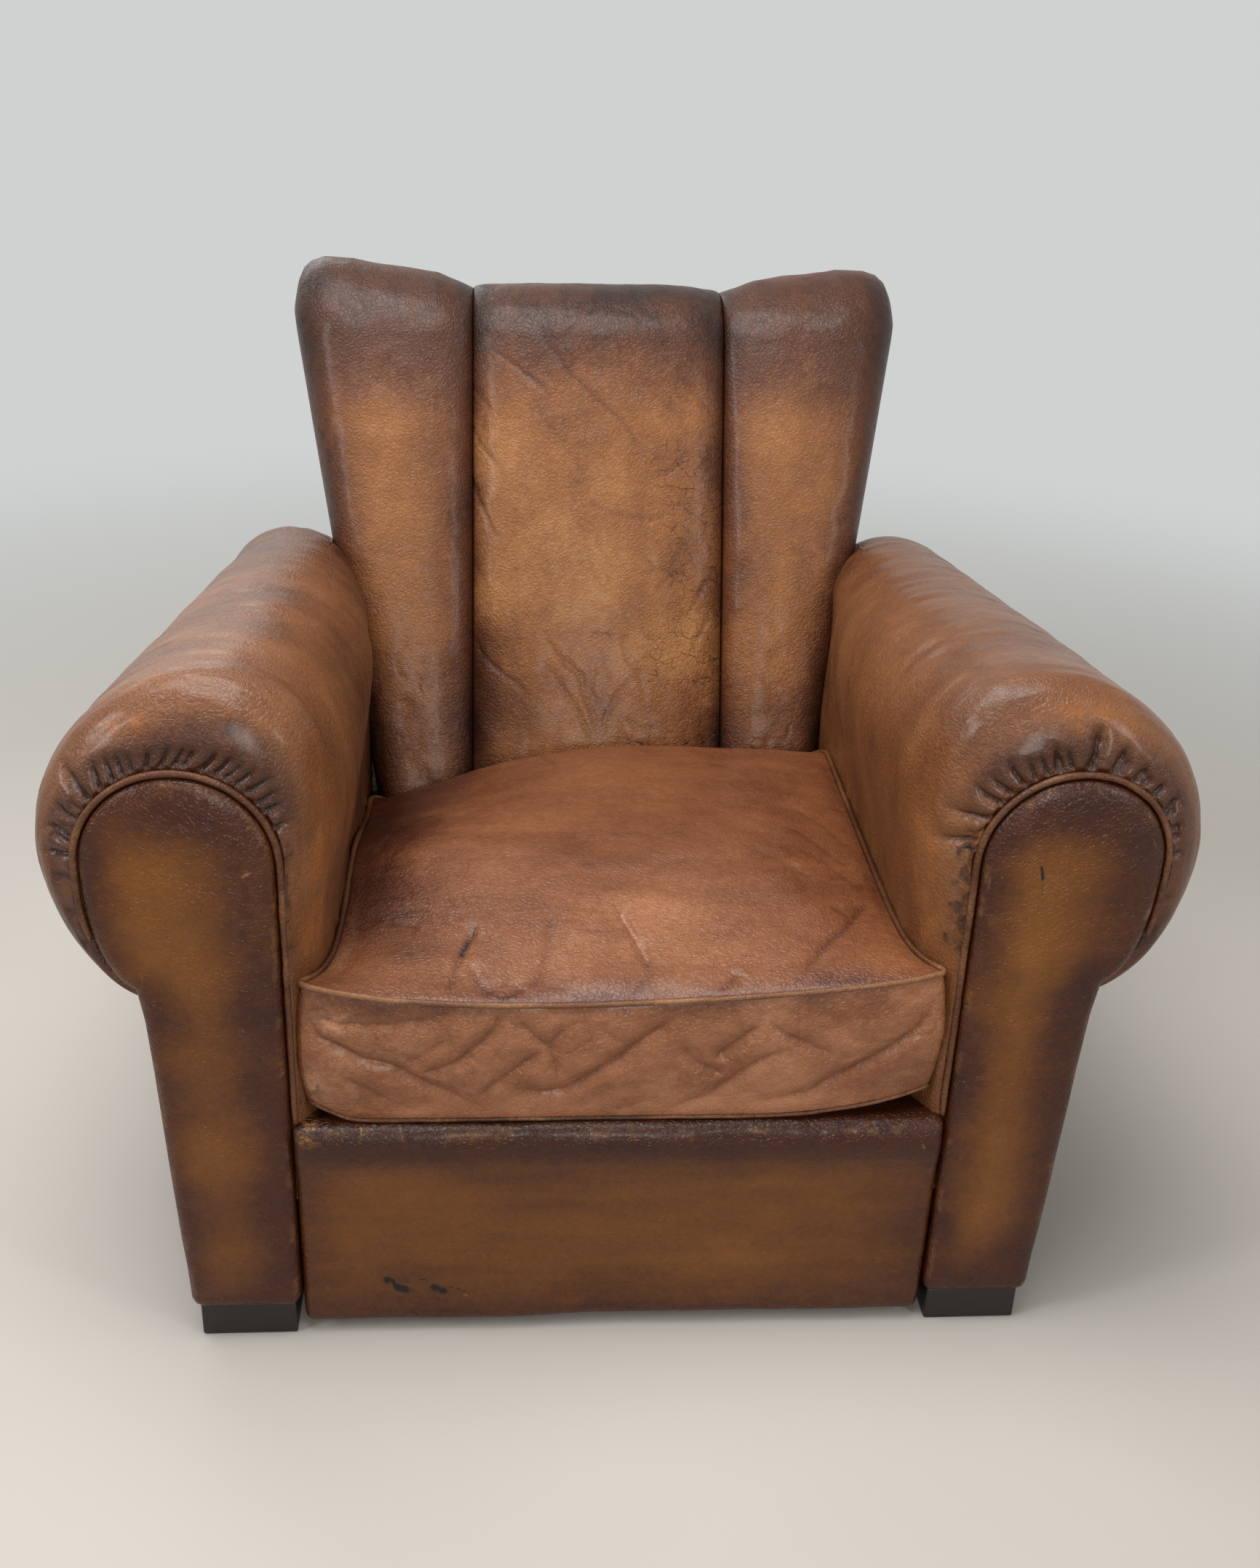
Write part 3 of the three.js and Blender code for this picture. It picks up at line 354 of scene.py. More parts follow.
def leather(name, shades, wear_and_highlight, grime_and_shade, roughness, coat, wrinkle, wrinkle_height):
    """Waxed sheepskin: its colour follows the painted tone, clouds 70 mm wide, streaks of 18 mm and
    flecks of 6 mm. Rubbed places and painted highlights show the paler hide; soiled places and painted
    shade in creases, pleats and seams show a dark film. Fine grain of 1.6 mm, drawn twice as coarse as
    the real one so that it shows, a crinkle of 5 mm and wrinkles of the given size break the gloss.
    Crackle lines 16 mm apart, swaying by 14 mm, show where they are painted."""
    m, place = new_material(name)
    tone, wear_and_highlight_share, soil_and_shade, crackle = (add(m, "Attribute", "Fac", {}, attribute_name=key)
                                 for key in ("tone", "wear_and_highlight", "grime_and_shade", "crackle"))
    cloud = add(m, "TexNoise", "Fac", {"Vector": place, "Scale": 1 / 0.07, "Detail": 5.0, "Roughness": 0.6})
    fleck = add(m, "TexNoise", "Fac", {"Vector": place, "Scale": 1 / 0.006, "Detail": 5.0, "Roughness": 0.7})
    streak = add(m, "TexNoise", "Fac", {"Vector": place, "Scale": 1 / 0.018, "Detail": 4.0, "Roughness": 0.6,
                                        "Distortion": 1.2})
    stretched = add(m, "Mapping", "Vector", {"Vector": place, "Scale": [1 / size for size in wrinkle]})
    fold = add(m, "TexNoise", "Fac", {"Vector": stretched, "Scale": 1.0, "Detail": 4.0, "Roughness": 0.55,
                                      "Distortion": 0.8})
    grain = add(m, "TexVoronoi", "Distance", {"Vector": place, "Scale": 1 / 0.0016})
    sway = add(m, "TexNoise", "Color", {"Vector": place, "Scale": 1 / 0.012, "Detail": 3.0})
    moved = add(m, "VectorMath", "Vector", {0: sway, 1: (0.014, 0.014, 0.014), 2: place},
                operation="MULTIPLY_ADD")
    crinkle = add(m, "TexVoronoi", "Distance", {"Vector": moved, "Scale": 1 / 0.005},
                  feature="DISTANCE_TO_EDGE")
    crinkle = add(m, "MapRange", "Result", {"Value": crinkle, "From Min": 0.0, "From Max": 0.25})

    # Crackle: a thin line at the edge of each cell, in pieces, where it is painted
    cells = add(m, "TexVoronoi", "Distance", {"Vector": moved, "Scale": 1 / 0.016},
                feature="DISTANCE_TO_EDGE")
    edge = add(m, "MapRange", "Result", {"Value": cells, "From Min": 0.0, "From Max": 0.055, "To Min": 1.0,
                                         "To Max": 0.0})
    pieces = add(m, "Math", "Value", {0: streak, 1: 4.0, 2: -1.6}, operation="MULTIPLY_ADD", use_clamp=True)
    edge = add(m, "Math", "Value", {0: edge, 1: pieces}, operation="MULTIPLY")
    crack = add(m, "Math", "Value", {0: edge, 1: crackle}, operation="MULTIPLY")

    # Colour: the patterns move the painted tone up and down the four shades
    level = tone
    for pattern, share in ((cloud, 0.3), (streak, 0.18), (fleck, 0.32), (crack, -0.42)):
        level = add(m, "Math", "Value", {0: pattern, 1: share, 2: level}, operation="MULTIPLY_ADD")
    level = add(m, "Math", "Value", {0: level, 1: 0.4}, operation="SUBTRACT")
    colour = add(m, "ValToRGB", "Color", {"Fac": level}, list(zip((0.0, 0.3, 0.62, 1.0), shades)))
    # Paler hide where it is rubbed and where a highlight is painted
    paler_share = add(m, "Math", "Value", {0: wear_and_highlight_share, 1: 1.0, 2: -0.8}, operation="MULTIPLY_ADD")
    paler_share = add(m, "Math", "Value", {0: fleck, 1: 1.6, 2: paler_share}, operation="MULTIPLY_ADD")
    paler_share = add(m, "Math", "Value", {0: paler_share, 1: wear_and_highlight_share}, operation="MULTIPLY", use_clamp=True)
    paler_share = add(m, "Math", "Value", {0: paler_share, 1: 1.8}, operation="MULTIPLY", use_clamp=True)
    colour = add(m, "Mix", 2, {0: paler_share, 6: colour, 7: srgb(wear_and_highlight)}, data_type="RGBA")
    # Dark film where it is soiled and where shade is painted in creases, pleats and seams
    dirt_and_shade = add(m, "Math", "Value", {0: soil_and_shade, 1: 2.2, 2: -1.6}, operation="MULTIPLY_ADD")
    dirt_and_shade = add(m, "Math", "Value", {0: fleck, 1: 2.4, 2: dirt_and_shade}, operation="MULTIPLY_ADD")
    dirt_and_shade = add(m, "Math", "Value", {0: dirt_and_shade, 1: soil_and_shade}, operation="MULTIPLY", use_clamp=True)
    colour = add(m, "Mix", 2, {0: dirt_and_shade, 6: colour, 7: srgb(grime_and_shade)}, data_type="RGBA")

    # Gloss: waxed and dull streaks, duller under the dark film of soil and painted shade
    gloss = add(m, "MapRange", "Result", {"Value": streak, "From Min": 0.3, "From Max": 0.7,
                                          "To Min": roughness - 0.07, "To Max": roughness + 0.10})
    gloss = add(m, "Math", "Value", {0: dirt_and_shade, 1: 0.2, 2: gloss}, operation="MULTIPLY_ADD")
    relief = 0.5
    for pattern, share in ((crack, -0.5), (grain, 0.05), (fold, wrinkle_height), (crinkle, 0.20)):
        relief = add(m, "Math", "Value", {0: pattern, 1: share, 2: relief}, operation="MULTIPLY_ADD")
    bump = add(m, "Bump", "Normal", {"Height": relief, "Strength": 1.0, "Distance": 0.0018})
    shader = add(m, "BsdfPrincipled", "BSDF", {"Base Color": colour, "Roughness": gloss, "Normal": bump,
                                               "Coat Weight": coat, "Coat Roughness": 0.22, "IOR": 1.34})
    add(m, "OutputMaterial", None, {"Surface": shader})
    return m


# Arm fronts


def outer_curve(offset, count):
    """The flare from the knee to the side of the arc: a cubic Bezier curve, moved out by an offset."""
    side = ARC_X + ARC_RADIUS
    (kx, kz), t = KNEE, np.linspace(0, 1, 400)[:, None]
    corners = np.array([[kx, kz], [mix(kx, side, 0.56), mix(kz, ARC_HEIGHT, 0.09)],
                        [side + 0.001, mix(kz, ARC_HEIGHT, 0.41)], [side, ARC_HEIGHT]])
    shares = np.hstack([(1 - t) ** 3, 3 * t * (1 - t) ** 2, 3 * t**2 * (1 - t), t**3])
    curve = shares @ corners
    along = np.gradient(curve, axis=0)
    along /= np.linalg.norm(along, axis=1, keepdims=True)
    moved = curve + offset * np.stack([along[:, 1], -along[:, 0]], -1)
    places = np.linspace(0, 399, count)
    return np.stack([np.interp(places, np.arange(400), moved[:, k]) for k in (0, 1)], -1)


def arc(offset, start, end, count):
    """Points on the round top of an arm front, between two angles."""
    turn = np.linspace(start, end, count)
    r = ARC_RADIUS + offset
    return np.stack([ARC_X + r * np.cos(turn), ARC_HEIGHT + r * np.sin(turn)], -1)


def facing_halves():
    """Outer and inner half of an arm front's outline, point for point at the same height, from the
    middle of the foot to the top: foot, outer side to the knee, flare and round top against the foot,
    straight inner side and round top."""
    base = FOOT_HEIGHT + GAP
    middle = 0.332
    corner = np.array([[middle, base], [FACING_FOOT - 0.010, base], [FACING_FOOT - 0.003, base + 0.003],
                       [FACING_FOOT + 0.0002, base + 0.010]])
    side = np.array([[0.3825, 0.08], [0.3850, 0.113], [0.3895, 0.20], [0.3935, 0.29], [0.3965, 0.34]])
    path = np.vstack([corner, side, outer_curve(0, 60), arc(0, 0, np.pi / 2, 90)[1:]])
    outer = even(path, 0.0026)
    x, z = outer.T
    foot = middle - (x - middle) * (middle - FACING_INNER) / (FACING_FOOT - middle)
    inner = np.where(z > ARC_HEIGHT, 2 * ARC_X - x, np.where(z < base + 0.010, foot, FACING_INNER))
    return outer, np.stack([np.maximum(inner, FACING_INNER), z], -1)


# Marks on the arm fronts, for each side: a line of X and Z and its width in mm, and its strength
SCRATCHES = {
    -1: [
        ([(309, 481), (301, 485)], 1.3, 0.9), ([(281.4, 469.7), (286.9, 441.2)], 0.9, 0.5),
        ([(394.8, 395.1), (392.8, 384.8), (397.1, 368.8)], 1, 0.45),
        ([(386.4, 418.9), (393, 421.7)], 1.6, 0.5), ([(353.1, 529.8), (350.2, 518.4)], 0.9, 0.5),
        ([(345.6, 534.2), (339.7, 524.7)], 0.9, 0.5), ([(296, 527), (304, 519)], 0.8, 0.4),
    ],
    1: [
        ([(288.2, 485.1), (290.4, 472.9), (289.2, 459.3)], 0.9, 0.55),
        ([(400, 423.4), (414.8, 427.5)], 0.9, 0.35), ([(429.7, 448.4), (426.2, 433.1)], 3, 0.6),
        ([(425, 502), (418, 515)], 1, 0.4),
    ],
}
STAINS = {
    -1: [
        ([(341.2, 452.8), (341.8, 452)], 1.2, 0.7), ([(330, 515), (337, 505)], 0.9, 0.4),
    ],
    1: [
        ([(329, 491.5), (331.8, 482), (332.7, 474)], 1.7, 1.0),
        ([(332.7, 476.2), (334, 459.1)], 0.9, 0.6), ([(322.3, 393.5), (325.4, 371.2)], 10, 0.35),
        ([(317.6, 549), (320.3, 542.5)], 1, 0.7),
    ],
}


# Middle of an arm front at each height: where its rings draw in, and where its gold is brightest
SPINE = ((0.085, 0.37, 0.487), (0.332, 0.342, ARC_X))
AXIS = ((0.04, 0.37, 0.487), (0.332, 0.342, ARC_X))


def marks(a, b, drawn):
    """The strongest of several marks, each with its own width in millimetres."""
    return np.max([strokes(a, b, [(line, strength)], width / 1000) for line, width, strength in drawn], 0)


def facing_piece(side, material):
    """An arm front: rings of its outline drawn in to a spine. The leather stands off the board by its
    crown, less a quarter round of 13 mm at the edge, and runs back over the board's edge. It is dark at
    the rim and golden in the middle, the hide's burnish. The gold is painted brighter towards the window
    lamp's side, as painted light, and darker low down, more on the left, as painted shade. A thin dark
    line along the rim is painted shade at its joints."""
    outer, inner = facing_halves()
    outline = np.vstack([outer, inner[-2:0:-1]])
    level = np.clip(outline[:, 1], 0.085, ARC_HEIGHT)
    spine = np.stack([np.interp(level, *SPINE), level], -1)
    shares = 1 - (1 - np.linspace(0, 1, 70)) ** 1.6
    flat = outline[None] + (spine - outline)[None] * shares[:, None, None]
    ends = np.roll(outline, -1, 0)
    away = np.empty(flat.shape[:2])
    run = ((ends - outline) ** 2).sum(1)
    for k, ring in enumerate(flat):
        gap = ring[:, None] - outline[None]
        t = np.clip((gap * (ends - outline)).sum(-1) / run, 0, 1)
        away[k] = np.linalg.norm(gap - t[..., None] * (ends - outline), axis=-1).min(1)
    x, z = flat[..., 0], flat[..., 1]
    place = np.stack([x * side, 0 * x, z], -1)
    lift = quarter(away, mix(0.013, 0.024, smooth((z - 0.40) / 0.12)))
    doming = 0.0022 * smooth(away / 0.05) + 0.0012 * fractal(place, 0.05, 11 + side, 3)
    y = 0.001 - (CROWN - 0.0005) * lift - doming * lift * (1 - 0.5 * smooth((z - 0.44) / 0.12))
    front = np.stack([x, y, z], -1)
    back = np.stack([outline[:, 0], np.full(len(outline), BOARD_BACK), outline[:, 1]], -1)
    hub = np.stack([spine[:, 0], back[:, 1], spine[:, 1]], -1)
    walls = [hub, back, back * (1, 0, 1) + (0, 0.028, 0), back * (1, 0, 1) + (0, 0.012, 0)]
    points = np.concatenate([np.array(walls), front])
    half = np.interp(z, [0.04, 0.37, 0.44, 0.49], [0.049, 0.058, 0.075, 0.076])
    # How far across the middle, away from the window lamp's side: the gold is painted brighter towards the
    # lamp, as painted light
    window = (x - np.interp(z, *AXIS)) / half * side
    blotch = fractal(place, 0.07, 31 + side, 4)
    glow = smooth((away + 0.004) / 0.052 + 0.14 * blotch) * smooth((z - 0.02) / 0.12)
    glow = glow * (1 - 0.85 * smooth((window + 0.25) / 1.05)) * (1 - 0.85 * smooth((z - 0.475) / 0.07))
    # Painted shade: the gold is darker low down, more on the left front
    glow = glow * (1 - (0.35 if side < 0 else 0.1) * smooth((0.42 - z) / 0.14))
    tone = 0.27 + 0.56 * glow + 0.09 * blotch
    paler_share = 0.35 * bell(away - 0.004, 0.003) * smooth(fractal(place, 0.03, 5 + side, 3) * 2)
    paler_share = np.maximum(paler_share, marks(x, z, SCRATCHES[side]))
    # Real stains, and a thin dark line along the rim that is painted shade at the joint
    stains_and_rim_shade = np.maximum(0.3 * bell(away, 0.003), marks(x, z, STAINS[side]))
    pad = np.full((4, len(outline)), 0.12)
    paint = {"tone": np.vstack([pad, tone]), "wear_and_highlight": np.vstack([0 * pad, paler_share]),
             "grime_and_shade": np.vstack([pad * 2, stains_and_rim_shade])}
    return skin("facing_leather_" + ENDS[side], sleeve_faces(points), material,
                ["facing_" + ENDS[side], "facing_board_" + ENDS[side]], paint, side)


def piping_piece(side, material):
    """The cord round an arm front, wavering by a fifth of a millimetre, thicker and thinner by a tenth."""
    inner = FACING_INNER - PIPING - GAP
    offset = PIPING + GAP
    curve = outer_curve(offset, 60)[::-1]
    path = np.vstack([[inner, APRON_TOP + 0.001], arc(offset, np.pi, 0, 160),
                      curve[curve[:, 1] > PIPING_END]])
    path = even(path, 0.0035)
    path = np.stack([path[:, 0], np.zeros(len(path)), path[:, 1]], -1)
    path = path + 0.0003 * np.stack([noise(path, 0.02, 3 + side), noise(path, 0.03, 8), 0 * path[:, 0]], -1)
    radii = 0.82 * PIPING * (1 + 0.07 * noise(path, 0.012, 21 + side))
    radii = radii * np.interp(np.arange(len(path)), [0, 3, len(path) - 4, len(path) - 1], [0.8, 1, 1, 0.6])
    points = tube(path, radii, (0, 1, 0))
    wear_and_highlight = 0.22 + 0.4 * noise(points, 0.03, 4)
    paint = {"tone": 0.42 + 0.2 * noise(points, 0.05, 9), "wear_and_highlight": np.clip(wear_and_highlight, 0, 1)}
    return skin("piping_" + ENDS[side], loft_faces(points), material,
                ["facing_piping_" + ENDS[side]], paint, side)


# Arms


def inside_back(z):
    """Depth of the back's leaning front, 520 mm at the height of the seat."""
    return 0.520 + INSIDE_LEAN * (z - 0.360)


def outside_back(z):
    """Depth of the raked sheet behind the frame, 700 mm at its foot."""
    return 0.700 + OUTSIDE_LEAN * (z - PANEL_FOOT)


def frame_rear(z):
    """Depth of the frame's rear, a sheet's thickness inside the outside back."""
    return outside_back(z) - 0.0053


def wing_edge(z):
    """Half width over the wings: 294 mm at the arms, flaring by 186 mm per metre up to the head."""
    return 0.294 + 0.1856 * (np.minimum(z, 0.775) - 0.576)


def panel_x(y, z):
    """X of the outside arm panel, which leans out with height and narrows to the back."""
    return 0.3785 + 0.0484 * (z - PANEL_FOOT) - 0.034 * y


def roll(y):
    """Height of the centre and radius of the arm's roll at a depth. Behind the wings the roll sinks in."""
    t = np.clip((y - ROLL_FULL) / (ROLL_END - ROLL_FULL), None, 1)
    sunk = smooth((y - 0.60) / 0.19)
    height = ROLL_HEIGHT + ROLL_RISE * np.clip(t, 0, 1) - 0.052 * sunk
    return height, mix(*ROLL_RADII, t) - 0.014 * sunk


def crease(y):
    """X and height of the crease where the roll meets the outer panel."""
    z0, r = roll(y)
    edge = panel_x(y, z0 - 0.8 * r)
    return edge, z0 - np.sqrt(r**2 - (edge - ROLL_X) ** 2)


ARM_STEPS = (56, 150, 150, 46, 18)


def arm_contour(y):
    """Outline of the full arm at each depth, from the crease over the outer panel: round to the top,
    a quarter ellipse down to the inner bulge, an eased curve to the inner face, and down behind the
    cushion. Depths have one row for each station and one column for each step of the outline."""
    z0, r = roll(y)
    edge, low = crease(y)
    start = np.arctan2(low - z0, edge - ROLL_X)
    rise = z0 + 0.026 * r / ROLL_RADII[0]
    bulge = mix(*ARM_BULGE, smooth((y - 0.33) / 0.30))
    step = np.concatenate([np.full(n, k) for k, n in enumerate(ARM_STEPS)])
    share = np.concatenate([np.arange(n) / n for n in ARM_STEPS])
    turn = share * np.pi / 2
    under = start * (1 - share)
    parts = [(ROLL_X + r * np.cos(under), z0 + r * np.sin(under)),
             (ROLL_X + r * np.cos(turn), z0 + r * np.sin(turn)),
             (ROLL_X - (ROLL_X - bulge) * np.sin(turn), rise + (z0 + r - rise) * np.cos(turn)),
             (mix(bulge, ARM_FACE, smooth(share)), mix(rise, ARM_FACE_TOP, share)),
             (ARM_FACE + 0 * y, mix(ARM_FACE_TOP, ARM_BASE, share) + 0 * y)]
    return tuple(np.choose(step, [part[k] for part in parts]) for k in (0, 1))


def front_contour(offset):
    """The arm's front outline with the same steps: flare, half circle, straight inner side."""
    n = ARM_STEPS
    low = outer_curve(offset, n[0] + 1)[:-1]
    top = arc(offset, 0, np.pi, n[1] + n[2] + 1)[:-1]
    z = np.concatenate([mix(ARC_HEIGHT, ARM_FACE_TOP, np.arange(n[3]) / n[3]),
                        mix(ARM_FACE_TOP, ARM_BASE, np.arange(n[4]) / n[4])])
    return np.vstack([low, top, np.stack([np.full(len(z), FACING_INNER - offset), z], -1)])


# The slot under the roll, where the arm's timbers stand
SLOT_INNER, SLOT_OUTER, SLOT_TOP = 0.297, 0.362, 0.43

# Angle round the arm front at each step of the outline, in degrees
ARM_TURN = np.concatenate([np.linspace(-52, 0, ARM_STEPS[0], endpoint=False),
                           np.linspace(0, 180, ARM_STEPS[1] + ARM_STEPS[2], endpoint=False),
                           180 + np.arange(ARM_STEPS[3] + ARM_STEPS[4]) * 1.2])

# Pleats of each arm: angle round the front in degrees and distance back in mm, and depth in mm
PLEATS = {
    -1: [
        ([(-22, 0), (-23, 8), (-23, 17)], 1.4), ([(-12, 0), (-13, 10), (-13.5, 22)], 2.0),
        ([(-3.5, 0), (-3.7, 11), (-4.6, 29)], 3.0), ([(4.8, 0), (3, 21), (1.8, 42)], 3.6),
        ([(12, 0), (12, 14), (10.8, 30)], 2.4), ([(15.6, 0), (15, 18), (12.6, 44)], 3.6),
        ([(21, 0), (20, 9), (20.5, 17)], 1.8), ([(27, 0), (24.6, 16), (25.8, 34)], 3.0),
        ([(33.5, 0), (32, 10), (32.6, 19)], 1.8), ([(41.4, 0), (38.4, 16), (37.2, 32), (36, 55)], 3.8),
        ([(50.4, 0), (49.8, 16), (50.4, 29)], 3.0), ([(58.8, 0), (57, 12), (55.2, 27)], 3.0),
        ([(64.8, 0), (63, 9), (61.8, 22)], 2.8), ([(70.2, 0), (69, 6), (67.8, 18)], 2.2),
        ([(78, 0), (78, 6), (77, 16)], 2.4), ([(85.2, 0), (86.4, 6), (87.4, 18)], 2.4),
        ([(92.4, 0), (93, 5), (94, 16)], 2.8), ([(97.2, 0), (98, 5), (99.4, 16)], 2.8),
        ([(106.2, 0), (108.6, 6), (110.8, 19)], 3.4), ([(114, 0), (115.8, 6), (118, 20)], 3.4),
        ([(119.4, 0), (121.8, 6), (124.6, 19)], 2.6), ([(126, 0), (128.4, 7), (131.2, 20)], 3.0),
        ([(132.6, 0), (136.2, 9), (140.2, 28)], 3.2), ([(141, 0), (142.8, 7), (146.2, 26)], 2.8),
        ([(147, 0), (148.8, 7), (152.8, 27)], 2.6), ([(158.4, 0), (159.6, 14), (163.2, 30)], 2.0),
    ],
    1: [
        ([(-20, 0), (-20, 12)], 1.4), ([(-10, 0), (-10, 14)], 1.6), ([(3, 0), (3.6, 5), (4.2, 16)], 2.2),
        ([(14.4, 0), (14.4, 4), (13.8, 13)], 2.4), ([(19.2, 0), (19.2, 5), (18.6, 17)], 3.0),
        ([(28.8, 0), (28.8, 5), (28.2, 15)], 2.2), ([(32.4, 0), (31.8, 8), (30.6, 26)], 3.6),
        ([(45.6, 0), (43.8, 8), (42, 20)], 3.0), ([(55.2, 0), (53, 5), (49.8, 14)], 2.2),
        ([(61.2, 0), (57.6, 6), (52.8, 20)], 3.6), ([(69.6, 0), (67.2, 8), (63, 18)], 2.4),
        ([(74.4, 0), (69.6, 11), (64.8, 28)], 3.8), ([(88.2, 0), (83.4, 9), (79.8, 22), (81, 35)], 4.0),
        ([(80.2, 21), (76.2, 36)], 1.8), ([(97.8, 0), (97.2, 7), (96, 18)], 2.6),
        ([(102.6, 0), (102.6, 5), (101.4, 12)], 2.0), ([(106.2, 0), (103.2, 11), (100.8, 23)], 3.0),
        ([(111.6, 0), (111, 9), (110.4, 17)], 2.6), ([(118.4, 0), (117.6, 9), (116.4, 18)], 2.6),
        ([(125, 0), (126.6, 12), (126, 25)], 3.0), ([(133, 0), (137.4, 14), (139.2, 27)], 3.2),
        ([(141, 0), (145.8, 16), (147.6, 34)], 3.6),
        ([(152, 0), (155.4, 11), (163.2, 35), (168, 62)], 3.4), ([(160, 0), (166, 14), (172, 36)], 2.0),
        ([(166, 0), (171, 21), (178.8, 42), (187.2, 76)], 3.2), ([(172, 0), (176, 18), (182, 36)], 2.0),
    ],
}


def gathers(side, distance):
    """Height and depth of fold of the gathered leather. A pleat is a sharp valley on a rounded one: e to
    the power of minus the distance from its line, and a bell three times as wide. It opens and fades as
    it runs back, and the leather between pleats is puffed up."""
    across, back = np.meshgrid(ARM_TURN * 1.6, distance * 1000)
    height, fold = np.zeros_like(back), np.zeros_like(back)
    for line, depth in PLEATS[side]:
        line = np.array(line, float) * (1.6, 1)
        ends = np.concatenate([[0], np.cumsum(np.hypot(*np.diff(line, axis=0).T))])
        away, along = np.full_like(back, 1e3), np.zeros_like(back)
        for k in range(len(line) - 1):
            step = line[k + 1] - line[k]
            t = (across - line[k, 0]) * step[0] + (back - line[k, 1]) * step[1]
            t = np.clip(t / (step @ step), 0, 1)
            near = np.hypot(across - line[k, 0] - t * step[0], back - line[k, 1] - t * step[1])
            along = np.where(near < away, mix(ends[k], ends[k + 1], t) / ends[-1], along)
            away = np.minimum(away, near)
        fade = 1 - smooth((along - 0.45) / 0.55)
        valley = 0.5 * np.exp(-away / (1.2 + 0.9 * along)) + 0.5 * bell(away, 4.5 + 3 * along)
        height -= 2.0 * depth / 1000 * fade * valley
        fold = np.maximum(fold, np.minimum(depth / 3, 1) * fade * bell(away, 1.5 + 0.7 * along))
    puff = (1 - smooth(back / 38)) * smooth((across + 48) / 20) * (1 - smooth((across - 270) / 30))
    return height + 0.0022 * puff, fold


def wing_rounding(share):
    """How far a wing has swelled beside its seam and dropped at its edge, by the share of its width."""
    return eased(share * WING_WIDTH, 0.07), 1 - eased((1 - share) * WING_WIDTH, 0.066)


def wing_front(x, z):
    """The depth of a wing's front leather, for the arm to end just inside it."""
    seam, edge = wing_rounding(np.clip((x - SEAM) / (wing_edge(z) - SEAM), 0, 1))
    return inside_back(z) - 0.030 * seam + 0.066 * edge


# Radius that the leather turns through at the arm's front, its run there, and where the rows start to
# bend to their own ends
SHOULDER_RADIUS, SHOULDER_RUN = 0.0573, 0.09
BENDING = 0.20


def arm_surface():
    """Rows of outlines from the piping, filling out fast over the roll and slowly down the inner face,
    then tapering to the back. Inner points stop just inside the wing and the rest at the outside back.
    Gives the points and each row's distance along the leather."""
    bend = np.linspace(0, np.pi / 2, 60)
    shoulder = GATHER_FRONT + (ROLL_FULL - GATHER_FRONT) * (1 - np.cos(bend))
    rest = ROLL_FULL + (ARM_BACK - ROLL_FULL) * np.linspace(0, 1, 112)[1:] ** 1.15
    distance = np.concatenate([SHOULDER_RADIUS * bend, SHOULDER_RUN + rest - ROLL_FULL])
    y = np.repeat(np.concatenate([shoulder, rest])[:, None], sum(ARM_STEPS), 1)
    end = np.full(sum(ARM_STEPS), 0.60)
    for _ in range(8):
        x, z = (row[0] for row in arm_contour(np.repeat(end[None], 2, 0)))
        outside = smooth((x - wing_edge(z) + 0.002) / 0.014)
        end = mix(end, mix(wing_front(x, z) + 0.012, ARM_BACK, outside), 0.5)
        end = np.minimum(end, frame_rear(z))
    past = np.clip((y - BENDING) / (ARM_BACK - BENDING), 0, 1)
    y = np.where(y > BENDING, mix(BENDING, end[None], past), y)
    full_x, full_z = arm_contour(y)
    front = front_contour(2 * PIPING + GAP)
    t = np.clip((y - GATHER_FRONT) / (ROLL_FULL - GATHER_FRONT), 0, 1)
    roll_share = np.sqrt(1 - (1 - t) ** 2)
    inner_share = 1 - np.exp(-(y - GATHER_FRONT) / 0.030)
    step = np.arange(sum(ARM_STEPS)) - (ARM_STEPS[0] + 1.4 * ARM_STEPS[1])
    share = mix(roll_share, inner_share, smooth(step / (0.6 * ARM_STEPS[1]))[None])
    points = np.stack([mix(front[:, 0], full_x, share), y, mix(front[:, 1], full_z, share)], -1)
    return points, distance


